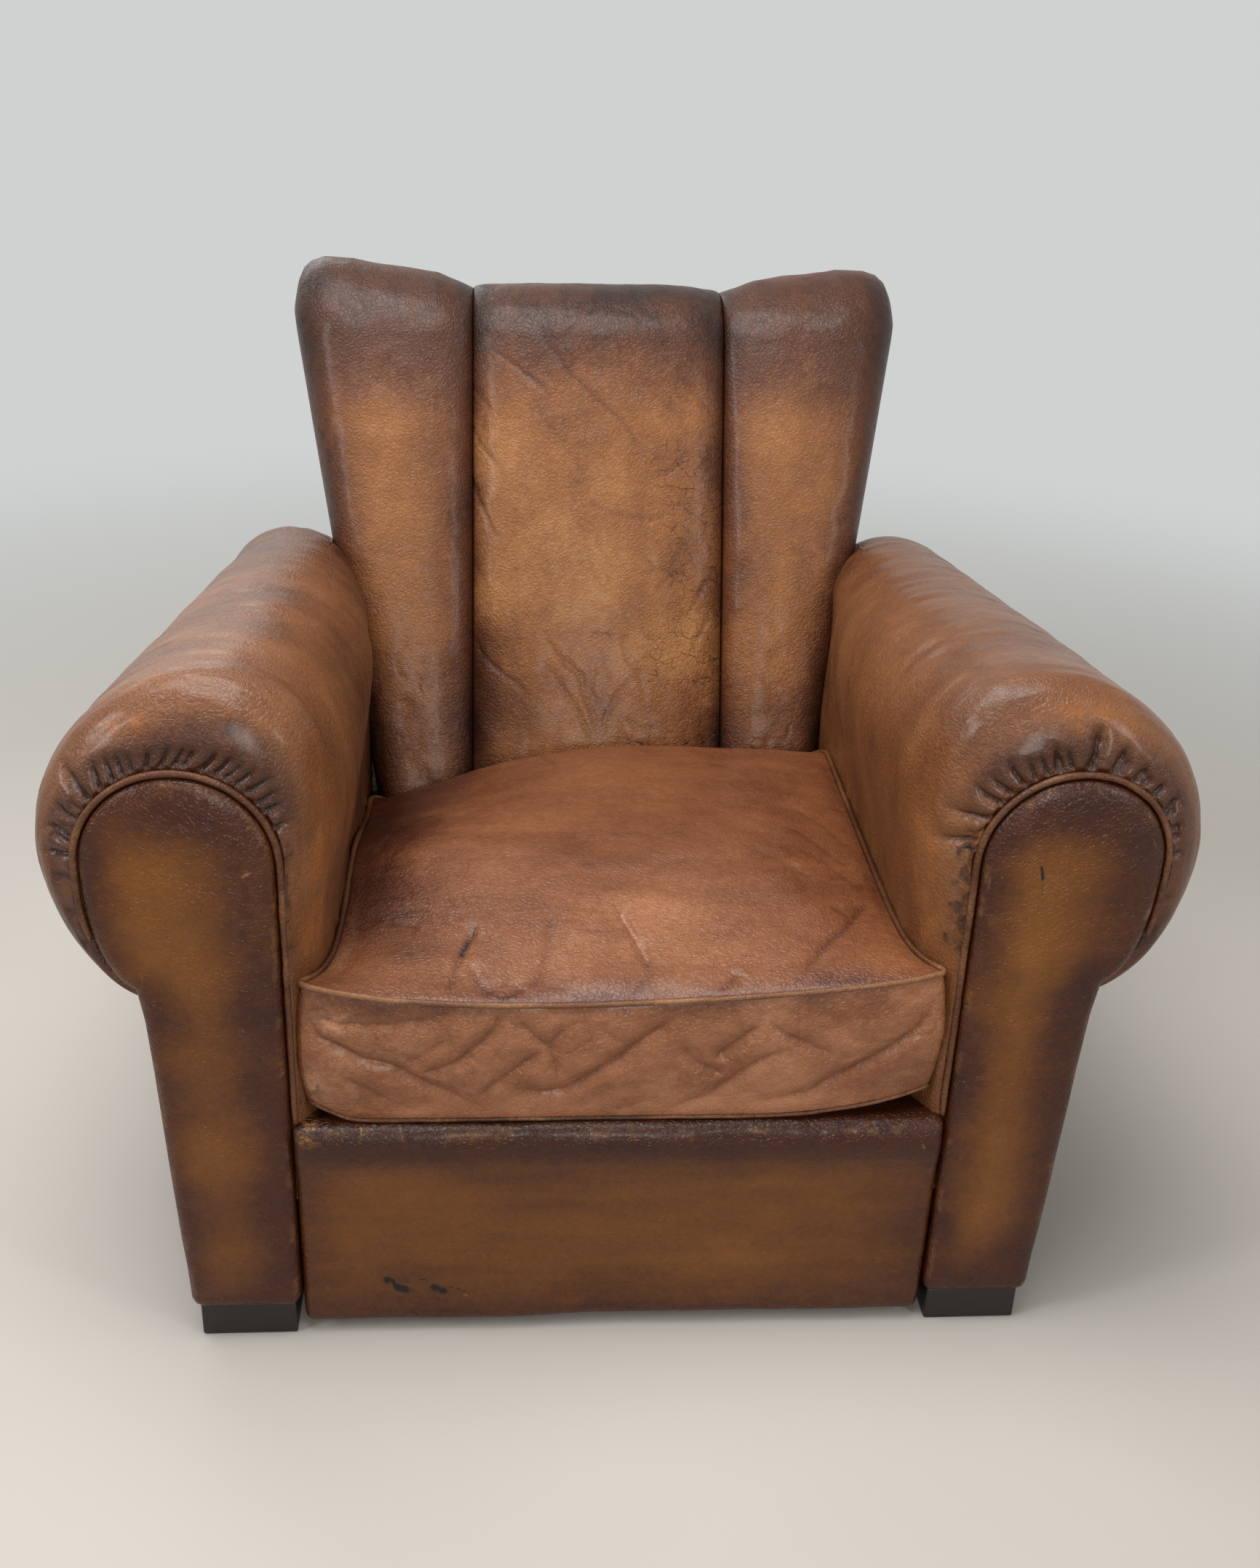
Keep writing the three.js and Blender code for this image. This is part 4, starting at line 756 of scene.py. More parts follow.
def arm_piece(side, material):
    """An arm: pleats, soft dents and folds across the roll stand on its surface along the normals. Shade is
    painted in the gathers, pleats and creases, low on the outer side under the roll, towards the back and
    on the left arm's inner face. It is rubbed paler at the crest, where a highlight is also painted, and
    stained beside the piping."""
    points, distance = arm_surface()
    y = points[..., 1]
    out = outward(points, (70, 200), (0, 0, 1))
    place = points * (side, 1, 1)
    height, fold = gathers(side, distance)
    away, turn = distance[:, None] * 1000, ARM_TURN[None]
    calm = smooth(away / 30)
    height = height + 0.0022 * calm * noise(place, (0.09, 0.07, 0.09), 40 + side)
    height = height + 0.0009 * calm * fractal(place, (0.06, 0.014, 0.06), 60 + side, 3)
    creased = lines(place, (0.12, 0.020, 0.12), 70 + side, 0.07) * smooth((away - 35) / 40)
    creased = creased * smooth((points[..., 2] - 0.46) / 0.06) * smooth(noise(place, 0.10, 80 + side) * 3)
    height = height - 0.0007 * creased
    height[0] = 0
    points = pushed(points, out, height)
    x, z = points[..., 0], points[..., 2]
    blotch = fractal(place, (0.10, 0.06, 0.10), 90 + side, 4)
    ragged = fractal(place, 0.014, 97 + side, 3)
    gathered = (1 - smooth((away - 22 - 8 * blotch) / 20)) * smooth((turn + 40) / 20)
    # Painted shade: darker in the gathers and along the pleats and creases, low on the outer side under the
    # roll, towards the back, and on the left arm's inner face
    tone = 0.56 + 0.13 * blotch - 0.26 * gathered * (1 - smooth((turn - 150) / 25)) - 0.24 * fold
    tone = tone - 0.08 * creased - 0.26 * smooth((0.47 - z) / 0.08) * (x > ROLL_X)
    tone = tone - 0.24 * smooth((y - 0.40) / 0.25)
    tone = tone - 0.14 * smooth((turn - 120) / 25) * smooth((y - 0.05) / 0.12) * (side < 0)
    reach = 46 if side > 0 else 31
    strip = smooth((reach - 6 + 16 * ragged - away) / 12)
    strip = strip * smooth((turn - 164) / 10) * smooth((232 - turn) / 12)
    low = bell(away - reach - 26, 24) * smooth((turn - 172) / 14) * smooth((236 - turn) / 14)
    # The crest is rubbed paler, and a highlight is painted on it as well
    crest = bell(away - 36, 15) * (bell(turn - 83, 24) if side > 0 else bell(turn - 64, 17))
    scorch = bell(away - 28, 13) * bell(turn - 110, 16) * (side < 0)
    wear_and_highlight = 0.5 * crest * smooth(0.6 + 1.2 * ragged) + 0.5 * low * smooth(0.5 + 1.3 * ragged)
    tone = tone + 0.18 * low + 0.14 * crest - 0.22 * scorch * smooth(0.6 + 2 * ragged)
    speckle = smooth(0.5 + 1.4 * fractal(place, 0.006, 98 + side, 2))
    # Dark film: painted shade along the pleats, and real stains beside the piping and on the scorched patch
    grime_and_shade = 0.22 * fold + (0.40 + 0.26 * speckle) * strip + 0.2 * scorch * speckle
    behind = front_contour(0.0006)
    lead = np.stack([np.stack([behind[:, 0], np.full(len(behind), d), behind[:, 1]], -1)
                     for d in (BOARD_BACK + GAP, GATHER_FRONT)])
    points = np.concatenate([lead, points])
    rear = points[:, -1, 1]
    notch = ((SLOT_INNER, ARM_BASE), (SLOT_INNER, SLOT_TOP), (SLOT_OUTER, SLOT_TOP),
             (SLOT_OUTER, np.minimum(points[:, 0, 2], SLOT_TOP - 0.001)))
    tails = [np.stack([across + 0 * rear, rear, level + 0 * rear], -1)[:, None] for across, level in notch]
    points = np.concatenate([points, *tails], 1)

    def widened(a):
        """The paint carried on to the two rows added in front and the four columns of the notch."""
        a = np.clip(np.vstack([a[:1], a[:1], a]), 0, 1)
        return np.pad(a, ((0, 0), (0, 4)), mode="edge")

    paint = {"tone": widened(tone), "wear_and_highlight": widened(wear_and_highlight), "grime_and_shade": widened(grime_and_shade)}
    return skin("arm_leather_" + ENDS[side], loft_faces(points), material,
                ["arm_pad_" + ENDS[side]], paint, side)


# Back


# Rows of a channel up its front, over its head roll and down its flap
FRONT_ROWS, HEAD_ROWS, FLAP_ROWS = 200, 110, 11


def channel(swell, crown, drop):
    """Depth and height of a channel of the back: each column runs up the leaning front, over the head
    roll and down the rear. Swell pushes the front out, crown the top, and drop rounds off the outer
    edge. Each is a value for every column."""
    start = np.pi - np.arctan(INSIDE_LEAN)
    end = -np.arctan(OUTSIDE_LEAN)
    up = np.linspace(0, 1, FRONT_ROWS, endpoint=False)[:, None]
    top = HEAD[1] + HEAD_RADIUS * np.sin(start)
    z = mix(APRON_TOP + GAP, top, up) + 0 * swell
    push = drop - swell * (0.75 + 0.25 * np.sin(np.pi * up))
    lean = smooth((up - 0.4) / 0.6)
    y = inside_back(z) + push * mix(1, -np.cos(start), lean)
    z = z - push * np.sin(start) * lean
    t = np.linspace(0, 1, HEAD_ROWS)[:, None]
    turn = mix(start, end, t)
    first = mix(0.75 * swell - drop, crown, smooth(2 * t))
    second = mix(crown, 0, smooth(2 * t - 1))
    lift = np.minimum(np.where(t < 0.5, first, second), mix(0.099, 0.0, smooth(2 * t - 1)))
    r = HEAD_RADIUS + lift
    head_y, head_z = HEAD[0] + r * np.cos(turn), HEAD[1] + r * np.sin(turn)
    flap_z = mix(head_z[-1:], FLAP_END, np.linspace(0, 1, FLAP_ROWS + 1)[1:, None])
    return np.vstack([y, head_y, frame_rear(flap_z)]), np.vstack([z, head_z, flap_z])


def channel_rear(points, side_return):
    """The hidden rear of a channel, point for point behind its front: the stuffing's flat back up to the
    top rail. At a wing's free side the leather is pulled on to the outside back, over the back board."""
    climbing = np.arange(len(points))[:, None] < FRONT_ROWS + HEAD_ROWS // 2
    z = np.where(climbing, np.minimum(points[..., 2], FLAP_END), FLAP_END)
    x = np.where(climbing & (points[..., 2] < FLAP_END), points[..., 0], points[-1:, :, 0])
    pad = np.minimum(inside_back(z) + PAD_THICKNESS, frame_rear(z) - 0.002)
    y = np.minimum(np.maximum(pad, points[..., 1] + 0.002), frame_rear(z) - 0.0005)
    if side_return:
        wrapped = (np.arange(x.shape[1]) >= x.shape[1] - 3) & (z > BOARD_FOOT)
        y = np.where(wrapped, frame_rear(z) - 0.0005, y)
        last = np.arange(x.shape[1]) == x.shape[1] - 1
        x = np.where(wrapped & last, np.maximum(x, BOARD_SIDE), x)
    return np.stack([x, y, z], -1)


# Creases of the centre channel: a line of X and Z in mm, and its strength
CENTRE_CREASES = [
    ([(-137, 753), (-116, 752), (-95, 740), (-70, 723), (-51, 707)], 0.8),
    ([(-137, 714), (-120, 697), (-109, 680)], 0.6),
    ([(-139, 676), (-126, 655), (-105, 634), (-95, 613)], 0.7),
    ([(-139, 626), (-128, 601), (-114, 573), (-104, 562)], 0.9),
    ([(-70, 779), (-35, 734), (-4, 706), (23, 686), (39, 664), (55, 640)], 0.8),
    ([(-66, 695), (-39, 663), (-19, 635), (4, 617)], 0.35), ([(38, 732), (70, 701), (94, 683)], 0.45),
    ([(81, 733), (109, 705), (127, 687)], 0.5), ([(123, 684), (98, 658), (75, 636), (51, 631)], 0.6),
    ([(127, 659), (102, 629), (87, 608), (75, 586)], 0.5),
    ([(-15, 621), (-7, 603), (20, 594), (55, 589), (83, 600)], 0.6),
    ([(-43, 731), (-12, 752), (13, 767)], 0.3), ([(30, 806), (57, 786)], 0.4),
    ([(125, 651), (114, 630), (98, 619)], 0.4), ([(-134, 537), (-120, 519)], 0.4),
    ([(-137, 469), (-124, 447), (-104, 433), (-89, 425), (-73, 411)], 1.0),
    ([(-95, 505), (-89, 476), (-83, 451)], 0.35), ([(123, 532), (107, 510), (96, 488)], 0.5),
    ([(125, 496), (108, 467), (96, 445)], 0.5), ([(-18, 476), (13, 473), (45, 472)], 0.5),
    ([(-65, 480), (-42, 451), (-18, 433), (-16, 415), (-6, 393), (2, 367)], 0.7),
    ([(-50, 433), (-34, 415), (-22, 397), (-10, 375), (0, 366)], 0.7),
    ([(25, 481), (29, 452), (47, 430), (51, 404), (57, 397)], 0.6),
    ([(41, 433), (21, 415), (6, 389), (4, 367)], 0.6), ([(-3, 448), (-10, 419), (6, 400)], 0.4),
    ([(69, 382), (45, 379), (29, 390)], 0.4), ([(44, 560), (60, 542), (87, 536), (103, 528)], 0.5),
    ([(87, 572), (83, 550), (68, 524), (56, 510)], 0.45),
]

# A wing's top: share of its width from the seam, and how far its roll stands up there
WING_CROWN = ((0, 0.08, 0.20, 0.36, 0.51, 0.67, 0.83, 0.90, 0.94, 0.97, 0.99, 1.0),
              (0.0, 0.007, 0.016, 0.020, 0.023, 0.028, 0.028, 0.024, 0.018, 0.006, -0.012, -0.034))


def back_pieces(material):
    """Three channels: a centre one 272 mm wide, and two wings that flare outwards with height."""
    half = SEAM - GAP / 2
    share = np.linspace(0, 1, 118)[None]
    x = mix(-half, half, mix(share, smooth(share), 0.55))
    swell = 0.034 * eased(half + x, 0.115) * eased(half - x, 0.115)
    y, z = channel(swell, 0.008 * swell / 0.034, 0 * x)
    points = np.stack([x + 0 * z, y, z], -1)
    channel_piece("back_leather_centre", points, material, ["back_channel_centre"], 1, True)
    share = mix(share, smooth(share), 0.75)
    seam, edge = wing_rounding(share)
    y, z = channel(0.032 * seam, np.interp(share, *WING_CROWN), 0.066 * edge)
    points = np.stack([mix(SEAM + GAP / 2, wing_edge(z), share), y, z], -1)
    for side in (-1, 1):
        name = "back_leather_" + ENDS[side]
        channel_piece(name, points, material, ["back_wing_" + ENDS[side]], side, False)


def channel_piece(name, points, material, nodes, side, centre):
    """Soft dents, creases and painted tones of a channel, with painted shade along its creases and
    beside its seams, and its closed shell.
    """
    out = outward(points, (100, 60), (0, -1, 0))
    x, y, z = (points[..., k] for k in range(3))
    place = points * (side, 1, 1)
    to_seam = np.minimum(x + SEAM, SEAM - x) if centre else x - SEAM
    to_edge = to_seam if centre else wing_edge(z) - x
    calm = smooth(to_seam / 0.02) * smooth(to_edge / 0.02)
    dents = 0.0022 * noise(place, (0.08, 0.2, 0.13), 7 + side)
    height = calm * (dents + 0.0008 * fractal(place, 0.035, 9 + side, 3))
    blotch = fractal(place, 0.09, 25 + side, 4)
    fine = fractal(place, (0.02, 0.05, 0.05), 27 + side, 3)
    top = smooth((z - 0.675 + 0.03 * blotch) / 0.115)
    low = smooth((0.50 - z) / 0.12)
    if centre:
        creased = strokes(x, z, CENTRE_CREASES, 0.0028) * (y < 0.73)
        wander = lines(place, (0.05, 0.2, 0.04), 15, 0.045) * smooth(noise(place, 0.07, 16) * 3)
        creased = np.maximum(creased, 0.5 * wander * calm)
        crackle = 0.8 * low * smooth((x + 0.07) / 0.09)
        crackle = crackle + 0.6 * smooth((x - 0.03) / 0.06) * smooth((0.70 - z) / 0.05)
        crackle = np.maximum(crackle, 0.4 * top) * smooth(0.7 + 2 * noise(place, 0.05, 17)) + 0.12
        # Painted shade: the centre is darker along its drawn creases and beside its seams
        tone = 0.62 + 0.14 * blotch + 0.06 * fine - 0.50 * top - 0.26 * bell(to_seam, 0.018) - 0.14 * creased
        tone = tone - 0.22 * low * smooth((-0.03 - x) / 0.08) - 0.18 * low * smooth((x - 0.05) / 0.06)
        wear_and_highlight = 0.25 * smooth(blotch * 1.4 + 0.1) * (1 - top)
        # Dark film: painted shade in each seam and along the drawn creases
        grime_and_shade = 0.35 * bell(to_seam, 0.003) + 0.3 * creased
    else:
        wander = lines(place, (0.05, 0.3, 0.02), 18 + side, 0.05) * smooth((0.50 - z) / 0.08)
        creased = 0.6 * wander * calm * smooth(noise(place, 0.06, 19) * 3 + 0.5)
        crackle = 0.05 + 0.35 * low
        across = bell(x - mix(SEAM, wing_edge(z), 0.44 - 0.06 * side), 0.055)
        tone = 0.33 + 0.33 * across * (1 - 0.9 * top) + 0.08 * blotch + 0.05 * fine - 0.18 * top
        # Painted shade beside the seam; besides that, darker towards the outer edge and low down
        tone = tone - 0.20 * smooth((0.050 - to_edge) / 0.050) - 0.22 * low - 0.14 * bell(to_seam, 0.018)
        speck = smooth(2.5 * fractal(place, 0.007, 44, 2) - 0.3) * bell(to_edge - 0.014, 0.022)
        wear_and_highlight = 0 * x
        # Dark film: painted shade in the seam, and real specks near the outer edge
        grime_and_shade = 0.35 * bell(to_seam, 0.003) + (0.55 if side < 0 else 0.1) * speck * smooth((z - 0.5) / 0.1)
        grime_and_shade = grime_and_shade * (1 - top)
    points = pushed(points, out, height - 0.0012 * creased)
    tone = mix(tone, 0.22 + 0.05 * blotch, smooth((y - 0.72) / 0.04))
    rear = channel_rear(points, not centre)
    if not centre:
        lip = rear[:, -1:].copy()
        shares = np.array([0.12, 0.35, 0.7, 0.93, 0.985])[None, :, None]
        pulled = mix(points[:, -1:], lip, shares)
        x, z = pulled[..., 0], pulled[..., 2]
        pulled[..., 0] = np.where((z > BOARD_FOOT) & (z < 0.60), np.maximum(x, BOARD_SIDE), x)
        points = np.hstack([points, pulled])
        rear = np.hstack([rear, np.repeat(lip, 5, 1)])

    def widened(values):
        """The paint carried on to the pulled columns, and a plain value for the hidden rear."""
        spread = np.pad(values, ((0, 0), (0, points.shape[1] - values.shape[1])), mode="edge")
        return np.concatenate([np.clip(spread, 0, 1).ravel(), np.full(spread.size, 0.2)])

    paint = {"tone": tone, "wear_and_highlight": wear_and_highlight, "grime_and_shade": grime_and_shade, "crackle": crackle}
    paint = {key: widened(values) for key, values in paint.items()}
    skin(name, shell_faces(points, [], rear), material, nodes, paint, side)


# Seat


def cushion_half(y):
    """Half width of the cushion: it follows the arms' inner faces, which fill out behind their fronts."""
    share = 1 - np.exp(-(np.maximum(y, GATHER_FRONT) - GATHER_FRONT) / 0.030)
    return mix(FACING_INNER - 2 * PIPING - GAP, ARM_FACE, share) - 0.003


def edge_height(x, y):
    """Height of the cushion's top seam: along the front a quartic through its measured heights, level
    further back, sunk by 60 mm at the left rear, and rounded down behind the visible top."""
    places = (-0.28, -0.267, -0.22, -0.16, -0.10, 0.0, 0.085, 0.146, 0.207, 0.263, 0.275)
    heights = (0.373, 0.370, 0.361, 0.355, 0.353, 0.353, 0.357, 0.363, 0.369, 0.376, 0.378)
    sag = np.polyval(np.polyfit(places, heights, 4), x)
    sunk = 0.060 * smooth((0.03 - x) / 0.32) * smooth((y - 0.20) / 0.26)
    return mix(sag, 0.371 - sunk, smooth(y / 0.22)) - 0.028 * (1 - quarter(CUSHION_REAR - y, 0.042))


def base_height(x, y):
    """Height of its bottom seam, lifted at the front corners, more on the right."""
    lift = 0.020 * smooth((-x - 0.225) / 0.06) + 0.026 * np.clip((x - 0.12) / 0.15, 0, 1) ** 1.8
    return CUSHION_BASE + 0.0006 + lift * (1 - smooth(y / 0.12))


# Creases in the cushion's front as X and Z, and in its top as X and Y, in mm, with their strengths
FRONT_CREASES = [
    ([(-258, 345), (-240, 338), (-219, 337), (-195, 337), (-167, 341), (-135, 352)], 0.5),
    ([(-266, 350), (-255, 323), (-239, 314), (-220, 302), (-196, 296), (-176, 283), (-152, 270),
      (-135, 260), (-119, 249)], 0.9),
    ([(-109, 358), (-107, 351), (-109, 334), (-119, 322), (-131, 311), (-141, 301), (-155, 294),
      (-172, 289), (-184, 291)], 0.9),
    ([(-93, 344), (-83, 331), (-72, 319), (-66, 314), (-60, 301), (-58, 284), (-61, 273)], 0.8),
    ([(-66, 314), (-78, 304), (-92, 294), (-105, 283), (-119, 270), (-129, 259)], 0.75),
    ([(-67, 314), (-58, 326), (-46, 335), (-28, 339)], 0.4),
    ([(-103, 277), (-86, 271), (-70, 267), (-53, 269), (-37, 279), (-19, 293), (-3, 304), (11, 318),
      (25, 329), (35, 337), (51, 349)], 1.1),
    ([(-42, 247), (-24, 261), (-10, 276)], 0.45),
    ([(-242, 289), (-217, 271), (-197, 258), (-172, 245)], 0.55),
    ([(-190, 300), (-175, 304), (-161, 315), (-149, 325)], 0.5),
    ([(-22, 341), (-18, 328), (-7, 320), (3, 315)], 0.4), ([(-79, 345), (-48, 345), (-12, 350)], 0.35),
    ([(72, 299), (84, 309), (99, 322), (115, 336)], 0.85),
    ([(44, 317), (55, 302), (70, 292), (87, 283)], 0.65),
    ([(31, 247), (51, 252), (70, 262), (90, 279), (114, 297), (141, 314)], 1.1),
    ([(119, 339), (132, 326), (152, 316), (171, 306), (182, 301)], 0.65),
    ([(96, 251), (129, 255), (156, 262), (170, 273), (190, 285), (210, 298), (229, 312), (246, 327),
      (255, 342), (260, 359)], 1.0),
    ([(231, 357), (244, 365), (255, 374)], 0.5), ([(180, 301), (205, 304), (224, 306)], 0.35),
    ([(-11, 245), (9, 253), (26, 260)], 0.4),
]
TOP_CREASES = [
    ([(-123, 102), (-133, 81), (-138, 66), (-143, 40), (-151, 6)], 0.75),
    ([(-128, 90), (-137, 66), (-140, 50)], 1.2), ([(-136, 51), (-123, 22), (-106, 4)], 0.6),
    ([(-85, 20), (-96, 10), (-110, 2)], 0.8),
    ([(-65, 111), (-62, 93), (-65, 62), (-71, 33), (-85, 14)], 0.5),
    ([(-5, 120), (3, 92), (14, 62), (21, 32), (27, 18)], 0.75), ([(22, 31), (12, 16), (4, 4)], 0.5),
    ([(97, 28), (85, 12), (76, 2)], 0.8),
    ([(228, 132), (212, 106), (198, 81), (178, 60), (158, 33), (147, 16)], 0.9),
    ([(187, 111), (199, 98), (206, 85)], 0.55), ([(-209, 105), (-190, 101), (-175, 92)], 0.5),
    ([(165, 251), (192, 225), (220, 182)], 0.4), ([(166, 214), (197, 189), (223, 145)], 0.4),
    ([(113, 204), (151, 183), (180, 152)], 0.3), ([(175, 300), (205, 270), (228, 225)], 0.35),
    ([(-179, 316), (-209, 270), (-222, 205)], 0.35), ([(-187, 255), (-208, 205), (-218, 151)], 0.3),
]


def cushion_plan(u, v, rear):
    """Plan with round corners: X by the arms at that depth, both ends drawn in round the corners. The
    front corners are squeezed out against the arm fronts, more on the left."""
    y = mix(0.002, rear, v) + 0 * u
    front = 1 - quarter(y - 0.002, 0.018)
    back = 1 - quarter(rear - y, 0.03)
    x = u * (cushion_half(y) - 0.003 - 0.009 * front - 0.022 * back)
    x = x - 0.0035 * (1 - smooth(y / 0.02)) * smooth((-u - 0.8) / 0.2)
    return x, y + 0.006 * abs(u) ** 10 * (1 - v) ** 24


def cushion_pieces(leather_top, piping):
    """The loose cushion: a crowned top grid and a bulging band, closed underneath by loops that draw in to
    a line, with a welt along its top seam and another along its bottom seam."""
    nx, ny = 340, 160
    u = np.linspace(-1, 1, nx)[None]
    v = np.linspace(0, 1, ny)[:, None] ** 1.25
    v = mix(v, smooth(v), 0.25)
    u = mix(u, np.sin(u * np.pi / 2), 0.25)
    x, y = cushion_plan(u, v, CUSHION_REAR)
    swell = (1 - abs(u) ** 2.6) ** 0.8 * np.clip(np.sin(np.pi * np.clip(v, 0, 1)), 0, 1) ** 0.55
    top = np.stack([x, y, edge_height(x, y) + 0.026 * swell], -1)
    soft = smooth(np.minimum(np.minimum(v, 1 - v), (1 - abs(u)) / 1.2) / 0.05)
    creased = strokes(x, y, TOP_CREASES, 0.0035)
    puckers = lines(top, (0.05, 0.014, 1), 34, 0.12) * smooth((abs(x) - 0.13) / 0.08) * smooth(y / 0.1)
    wander = lines(top, (0.12, 0.05, 1), 33, 0.05) * smooth(noise(top, 0.09, 35) * 3) + 0.5 * puckers
    height = soft * (0.003 * noise(top, (0.11, 0.12, 1), 31) + 0.0012 * fractal(top, (0.06, 0.05, 1), 32, 3))
    wide = strokes(x, y, TOP_CREASES, 0.012)
    top[..., 2] += height - (0.0011 * creased + 0.0016 * wide + 0.0004 * wander) * soft
    index = np.arange(nx * ny).reshape(ny, nx)
    upper = top.reshape(-1, 3)[rim(index)]
    xb, yb = cushion_plan(u, v, CUSHION_REAR - 0.048)
    lower = np.stack([xb, yb, base_height(xb, yb)], -1).reshape(-1, 3)[rim(index)]
    line = np.stack([0.15 * u + 0 * v, 0.22 + 0 * xb, CUSHION_BASE + 0.0008 + 0 * xb], -1)
    line = line.reshape(-1, 3)[rim(index)]
    tangent = np.roll(upper, -1, 0) - np.roll(upper, 1, 0)
    out = np.stack([tangent[:, 1], -tangent[:, 0], 0 * tangent[:, 0]], -1)
    out /= np.maximum(np.linalg.norm(out, axis=1, keepdims=True), 1e-9)
    if out[nx // 2, 1] > 0:
        out = -out
    rows = 76
    t = np.linspace(0, 1, rows + 1)[1:, None, None]
    band = mix(upper[None], lower[None], t)
    bow = np.clip(np.sin(np.pi * t[..., 0]), 0, 1) ** 0.6
    ahead = smooth((0.05 - band[..., 1]) / 0.05)
    fx, fz = band[..., 0], band[..., 2]
    crease = strokes(fx, fz, FRONT_CREASES, 0.0016) * ahead
    wide = strokes(fx, fz, FRONT_CREASES, 0.0075) * ahead
    minor = lines(band, (0.04, 1, 0.025), 37, 0.07) * ahead * bow
    minor = minor * smooth(noise(band, (0.05, 1, 0.04), 43) * 3)
    push = 0.0035 * bow + 0.0055 * bow * ahead
    push = push + bow * 0.0012 * fractal(band, (0.04, 1, 0.03), 36, 3)
    push = push - bow * (0.0016 * crease + 0.0050 * wide + 0.0010 * minor)
    cell = noise(band, (0.016, 1, 0.016), 47) * ahead * bow
    push = push + 0.0006 * cell
    band = band + out[None] * push[..., None]
    band[..., 0] = np.clip(band[..., 0], -0.2757, 0.2750)
    under = [mix(lower, line, share) for share in (0.06, 0.3, 0.65, 1.0)]
    blotch = fractal(top, (0.12, 0.10, 1), 38, 4)
    streak = fractal(top, (0.09, 0.02, 1), 45, 3)
    # Painted shade: the top is darker along its drawn creases and wandering lines
    tone_top = 0.54 + 0.12 * blotch + 0.06 * streak - 0.22 * creased - 0.07 * wander
    tone_top = tone_top - 0.22 * (1 - smooth((y + 0.01 + 0.015 * blotch) / 0.06))
    # Painted shadow of the arms: darker at the left rear, and less at the right rear
    tone_top = tone_top - 0.36 * smooth((-x - 0.10 - 0.02 * blotch) / 0.12) * smooth((y - 0.03) / 0.12)
    tone_top = tone_top - 0.16 * smooth((x - 0.19) / 0.06) * smooth((y - 0.08) / 0.1)
    glow = bell(x - 0.055 + 0.02 * blotch, 0.07) * bell(y - 0.085, 0.06)
    tone_top = tone_top + 0.14 * glow + 0.08 * bell(x, 0.12) * bell(y - 0.28, 0.12)
    pale = strokes(x, y, [([(-4, 117), (4, 90), (15, 60), (23, 32)], 1)], 0.0016)
    worn_top = 0.12 * glow + 0.45 * pale + 0.15 * smooth(blotch * 1.5) * bell(y - 0.12, 0.10)
    nick = strokes(x, y, [([(-131, 80), (-138, 64), (-141, 52)], 1)], 0.0028)
    tone_band = 0.76 + 0.20 * fractal(band, (0.06, 1, 0.04), 39, 4)
    # Painted shade: the band is darker along its creases
    tone_band = tone_band - 0.15 * crease - 0.03 * wide - 0.10 * minor
    # Painted shadow just under the top welt across the front
    tone_band = tone_band - 0.22 * (1 - ahead) - 0.18 * bell(fz - 0.352, 0.010) * bell(fx, 0.22)
    # Painted shade at the left of the band, towards the left arm
    tone_band = tone_band + 0.10 * smooth((0.275 - fz) / 0.03) - 0.20 * smooth((-0.06 - fx) / 0.16)
    scuffed = bell(fx + 0.247, 0.016) * bell(fz - 0.338, 0.012)
    scuffed = scuffed + bell(fx + 0.262, 0.012) * bell(fz - 0.27, 0.022)
    ridge = bell(np.clip(wide, 0, 1) - 0.25, 0.12)
    worn_band = ahead * (0.10 + 0.3 * noise(band, 0.04, 41) + 0.08 * ridge + 0.45 * scuffed) * (1 - crease)
    torn = smooth(2.5 * fractal(band, 0.008, 46, 2))
    # Dark film: painted shade in the creases, real scuffs, and a ragged dark line at the bottom seam
    grime_and_shade_band = 0.12 * crease + 0.62 * scuffed * torn + 0.35 * bell(fz - CUSHION_BASE, 0.010) * torn
    count = upper.shape[0] * len(under)

    def joined(a, b, rest):
        """Paint of the top grid, then the band, then one value for the loops underneath."""
        return np.clip(np.concatenate([a.ravel(), b.ravel(), np.full(count, rest)]), 0, 1)

    # The top's dark film is painted shade in its creases and a real nick
    paint = {"tone": joined(tone_top, tone_band, 0.3), "wear_and_highlight": joined(worn_top, worn_band, 0),
             "grime_and_shade": joined(0.18 * creased + 0.6 * nick, grime_and_shade_band, 0)}
    skin("cushion_leather", shell_faces(top, list(band) + under), leather_top,
         ["seat_cushion"], paint, 1)
    welt_piece("welt_top", upper + out * 0.0024 + (0, 0, 0.0008), 0.85 * WELT, 0.66, piping)
    welt_piece("welt_bottom", lower + out * 0.0014 - (0, 0, 0.0002), 0.62 * WELT, 0.26, piping)


